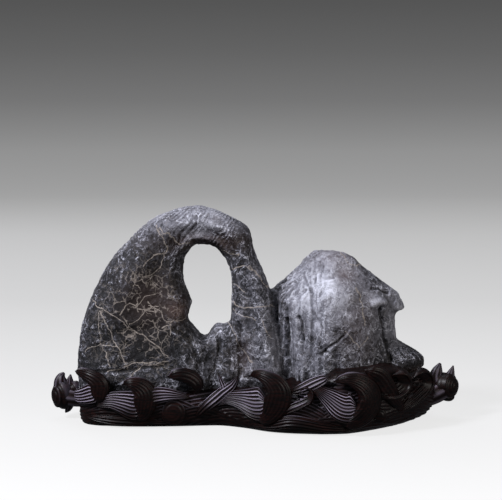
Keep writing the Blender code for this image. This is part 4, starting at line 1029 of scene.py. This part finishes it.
def makeStage():
    # a sheet that lies flat under the object and curves up behind it
    turn = np.linspace(0, math.pi / 2, 24)
    radius, back = stageLook["curve"], stageLook["distance"]
    bend = np.column_stack([back + radius * np.sin(turn), radius - radius * np.cos(turn)])
    profile = np.vstack([[(stageLook["near"], 0.0)], bend, [(back + radius, stageLook["top"])]])
    wide = np.array([-1, 1]) * stageLook["halfWidth"]
    points = np.stack([np.broadcast_to(wide[None, :], (len(profile), 2)),
                       np.broadcast_to(profile[:, :1], (len(profile), 2)),
                       np.broadcast_to(profile[:, 1:], (len(profile), 2))], -1).reshape(-1, 3)
    row = np.arange(len(profile) - 1)[:, None] * 2
    quads = (row + np.array([[0, 1, 3, 2]]))
    mesh = bpy.data.meshes.new("backdrop")
    mesh.from_pydata(points.tolist(), [], quads.tolist())
    mesh.shade_smooth()
    sheet = bpy.data.objects.new("backdrop", mesh)
    bpy.context.scene.collection.objects.link(sheet)
    material, tree, shader = newMaterial("studio_paper")
    place = addNode(tree, "TexCoord").outputs["Object"]
    parts = addNode(tree, "SeparateXYZ", None, Vector=place).outputs
    high = compute(tree, "ADD", parts["Y"], parts["Z"])
    greys = stageLook["greys"]
    low, top = greys[0][0], greys[-1][0]
    share = addNode(tree, "MapRange", {"From Min": low, "From Max": top}, Value=high).outputs[0]
    ramp = addNode(tree, "ValToRGB", None, Fac=share)
    stops = ramp.color_ramp.elements
    stops[0].color, stops[1].color = linear(greys[0][1]), linear(greys[-1][1])
    for height, grey in greys[1:-1]:
        stops.new((height - low) / (top - low)).color = linear(grey)
    tree.links.new(ramp.outputs[0], shader.inputs["Emission Color"])
    tree.links.new(blendColours(tree, 1 - stageLook["emission"], (0, 0, 0, 1), ramp.outputs[0]),
                   shader.inputs["Base Color"])
    shader.inputs["Emission Strength"].default_value = stageLook["emission"]
    shader.inputs["Roughness"].default_value = 1.0
    shader.inputs["Specular IOR Level"].default_value = 0.0
    mesh.materials.append(material)
    sheet.visible_diffuse = False
    sheet.visible_glossy = False


def makeLights():
    for name, place, aim, size, power, colour in lightLook:
        light = bpy.data.lights.new(name, "AREA")
        light.shape = "DISK"
        light.size = size
        light.energy = power
        light.color = linear(colour)[:3]
        item = bpy.data.objects.new(name, light)
        item.location = place
        turnTo(item, aim)
        bpy.context.scene.collection.objects.link(item)
    world = bpy.data.worlds.new("studio")
    world.use_nodes = True
    background = world.node_tree.nodes["Background"]
    background.inputs[0].default_value = linear(worldLook["colour"])
    background.inputs[1].default_value = worldLook["level"]
    bpy.context.scene.world = world
    bpy.context.scene.view_settings.view_transform = "Standard"


def makeCamera():
    data = bpy.data.cameras.new("camera")
    data.lens, data.sensor_width = cameraLook["lens"], cameraLook["sensor"]
    camera = bpy.data.objects.new("camera", data)
    camera.location = cameraLook["place"]
    turnTo(camera, cameraLook["aim"])
    bpy.context.scene.collection.objects.link(camera)
    bpy.context.scene.camera = camera


# Everything in order

makeCamera()
makeLights()
makeStage()
print("stage, lights and camera ready")

dress(makeStone(), "stone", limestone())
print("stone ready")

wood = rosewood()
dress(makeStandBody(), "stand", wood)
for kind, table in (("fan", frontFans), ("hood", frontHoods), ("curl", frontCurls)):
    for index, rows in enumerate(table):
        dress(makeWave(f"front_{kind}_{index + 1:02d}", rows, frontSide, kind), "stand", wood)
for index, rows in enumerate(frontCurls):
    dress(makeWeb(f"front_web_{index + 1:02d}", rows, frontSide), "stand", wood)
for index, place in enumerate(backWavePlaces):
    for kind, unit in (("fan", backFan), ("hood", backHood)):
        piece = makeWave(f"back_{kind}_{index + 1:02d}", backRows(unit, place), backSide, kind)
        dress(piece, "stand", wood)
for index, (depth, rows) in enumerate(endCurls):
    dress(makeCurl(f"end_curl_{index + 1:02d}", depth, rows), "stand", wood)
for index, (x, z, radius, turns) in enumerate(frontWhorls):
    y, normal, inset = flankPlace(np.array([x]), np.array([z]), frontSide)
    centre = (x, y[0] + inset[0], z)
    boss = makeKnob(f"front_whorl_{index + 1:02d}", centre, (radius, whorlDepth, radius), turns)
    dress(boss, "stand", wood)
for index, (centre, radii, turns) in enumerate(endKnobs):
    knob = makeKnob(f"end_knob_{index + 1:02d}", centre, radii, turns, math.copysign(endAim, centre[0]))
    dress(knob, "stand", wood)
print("stand ready")
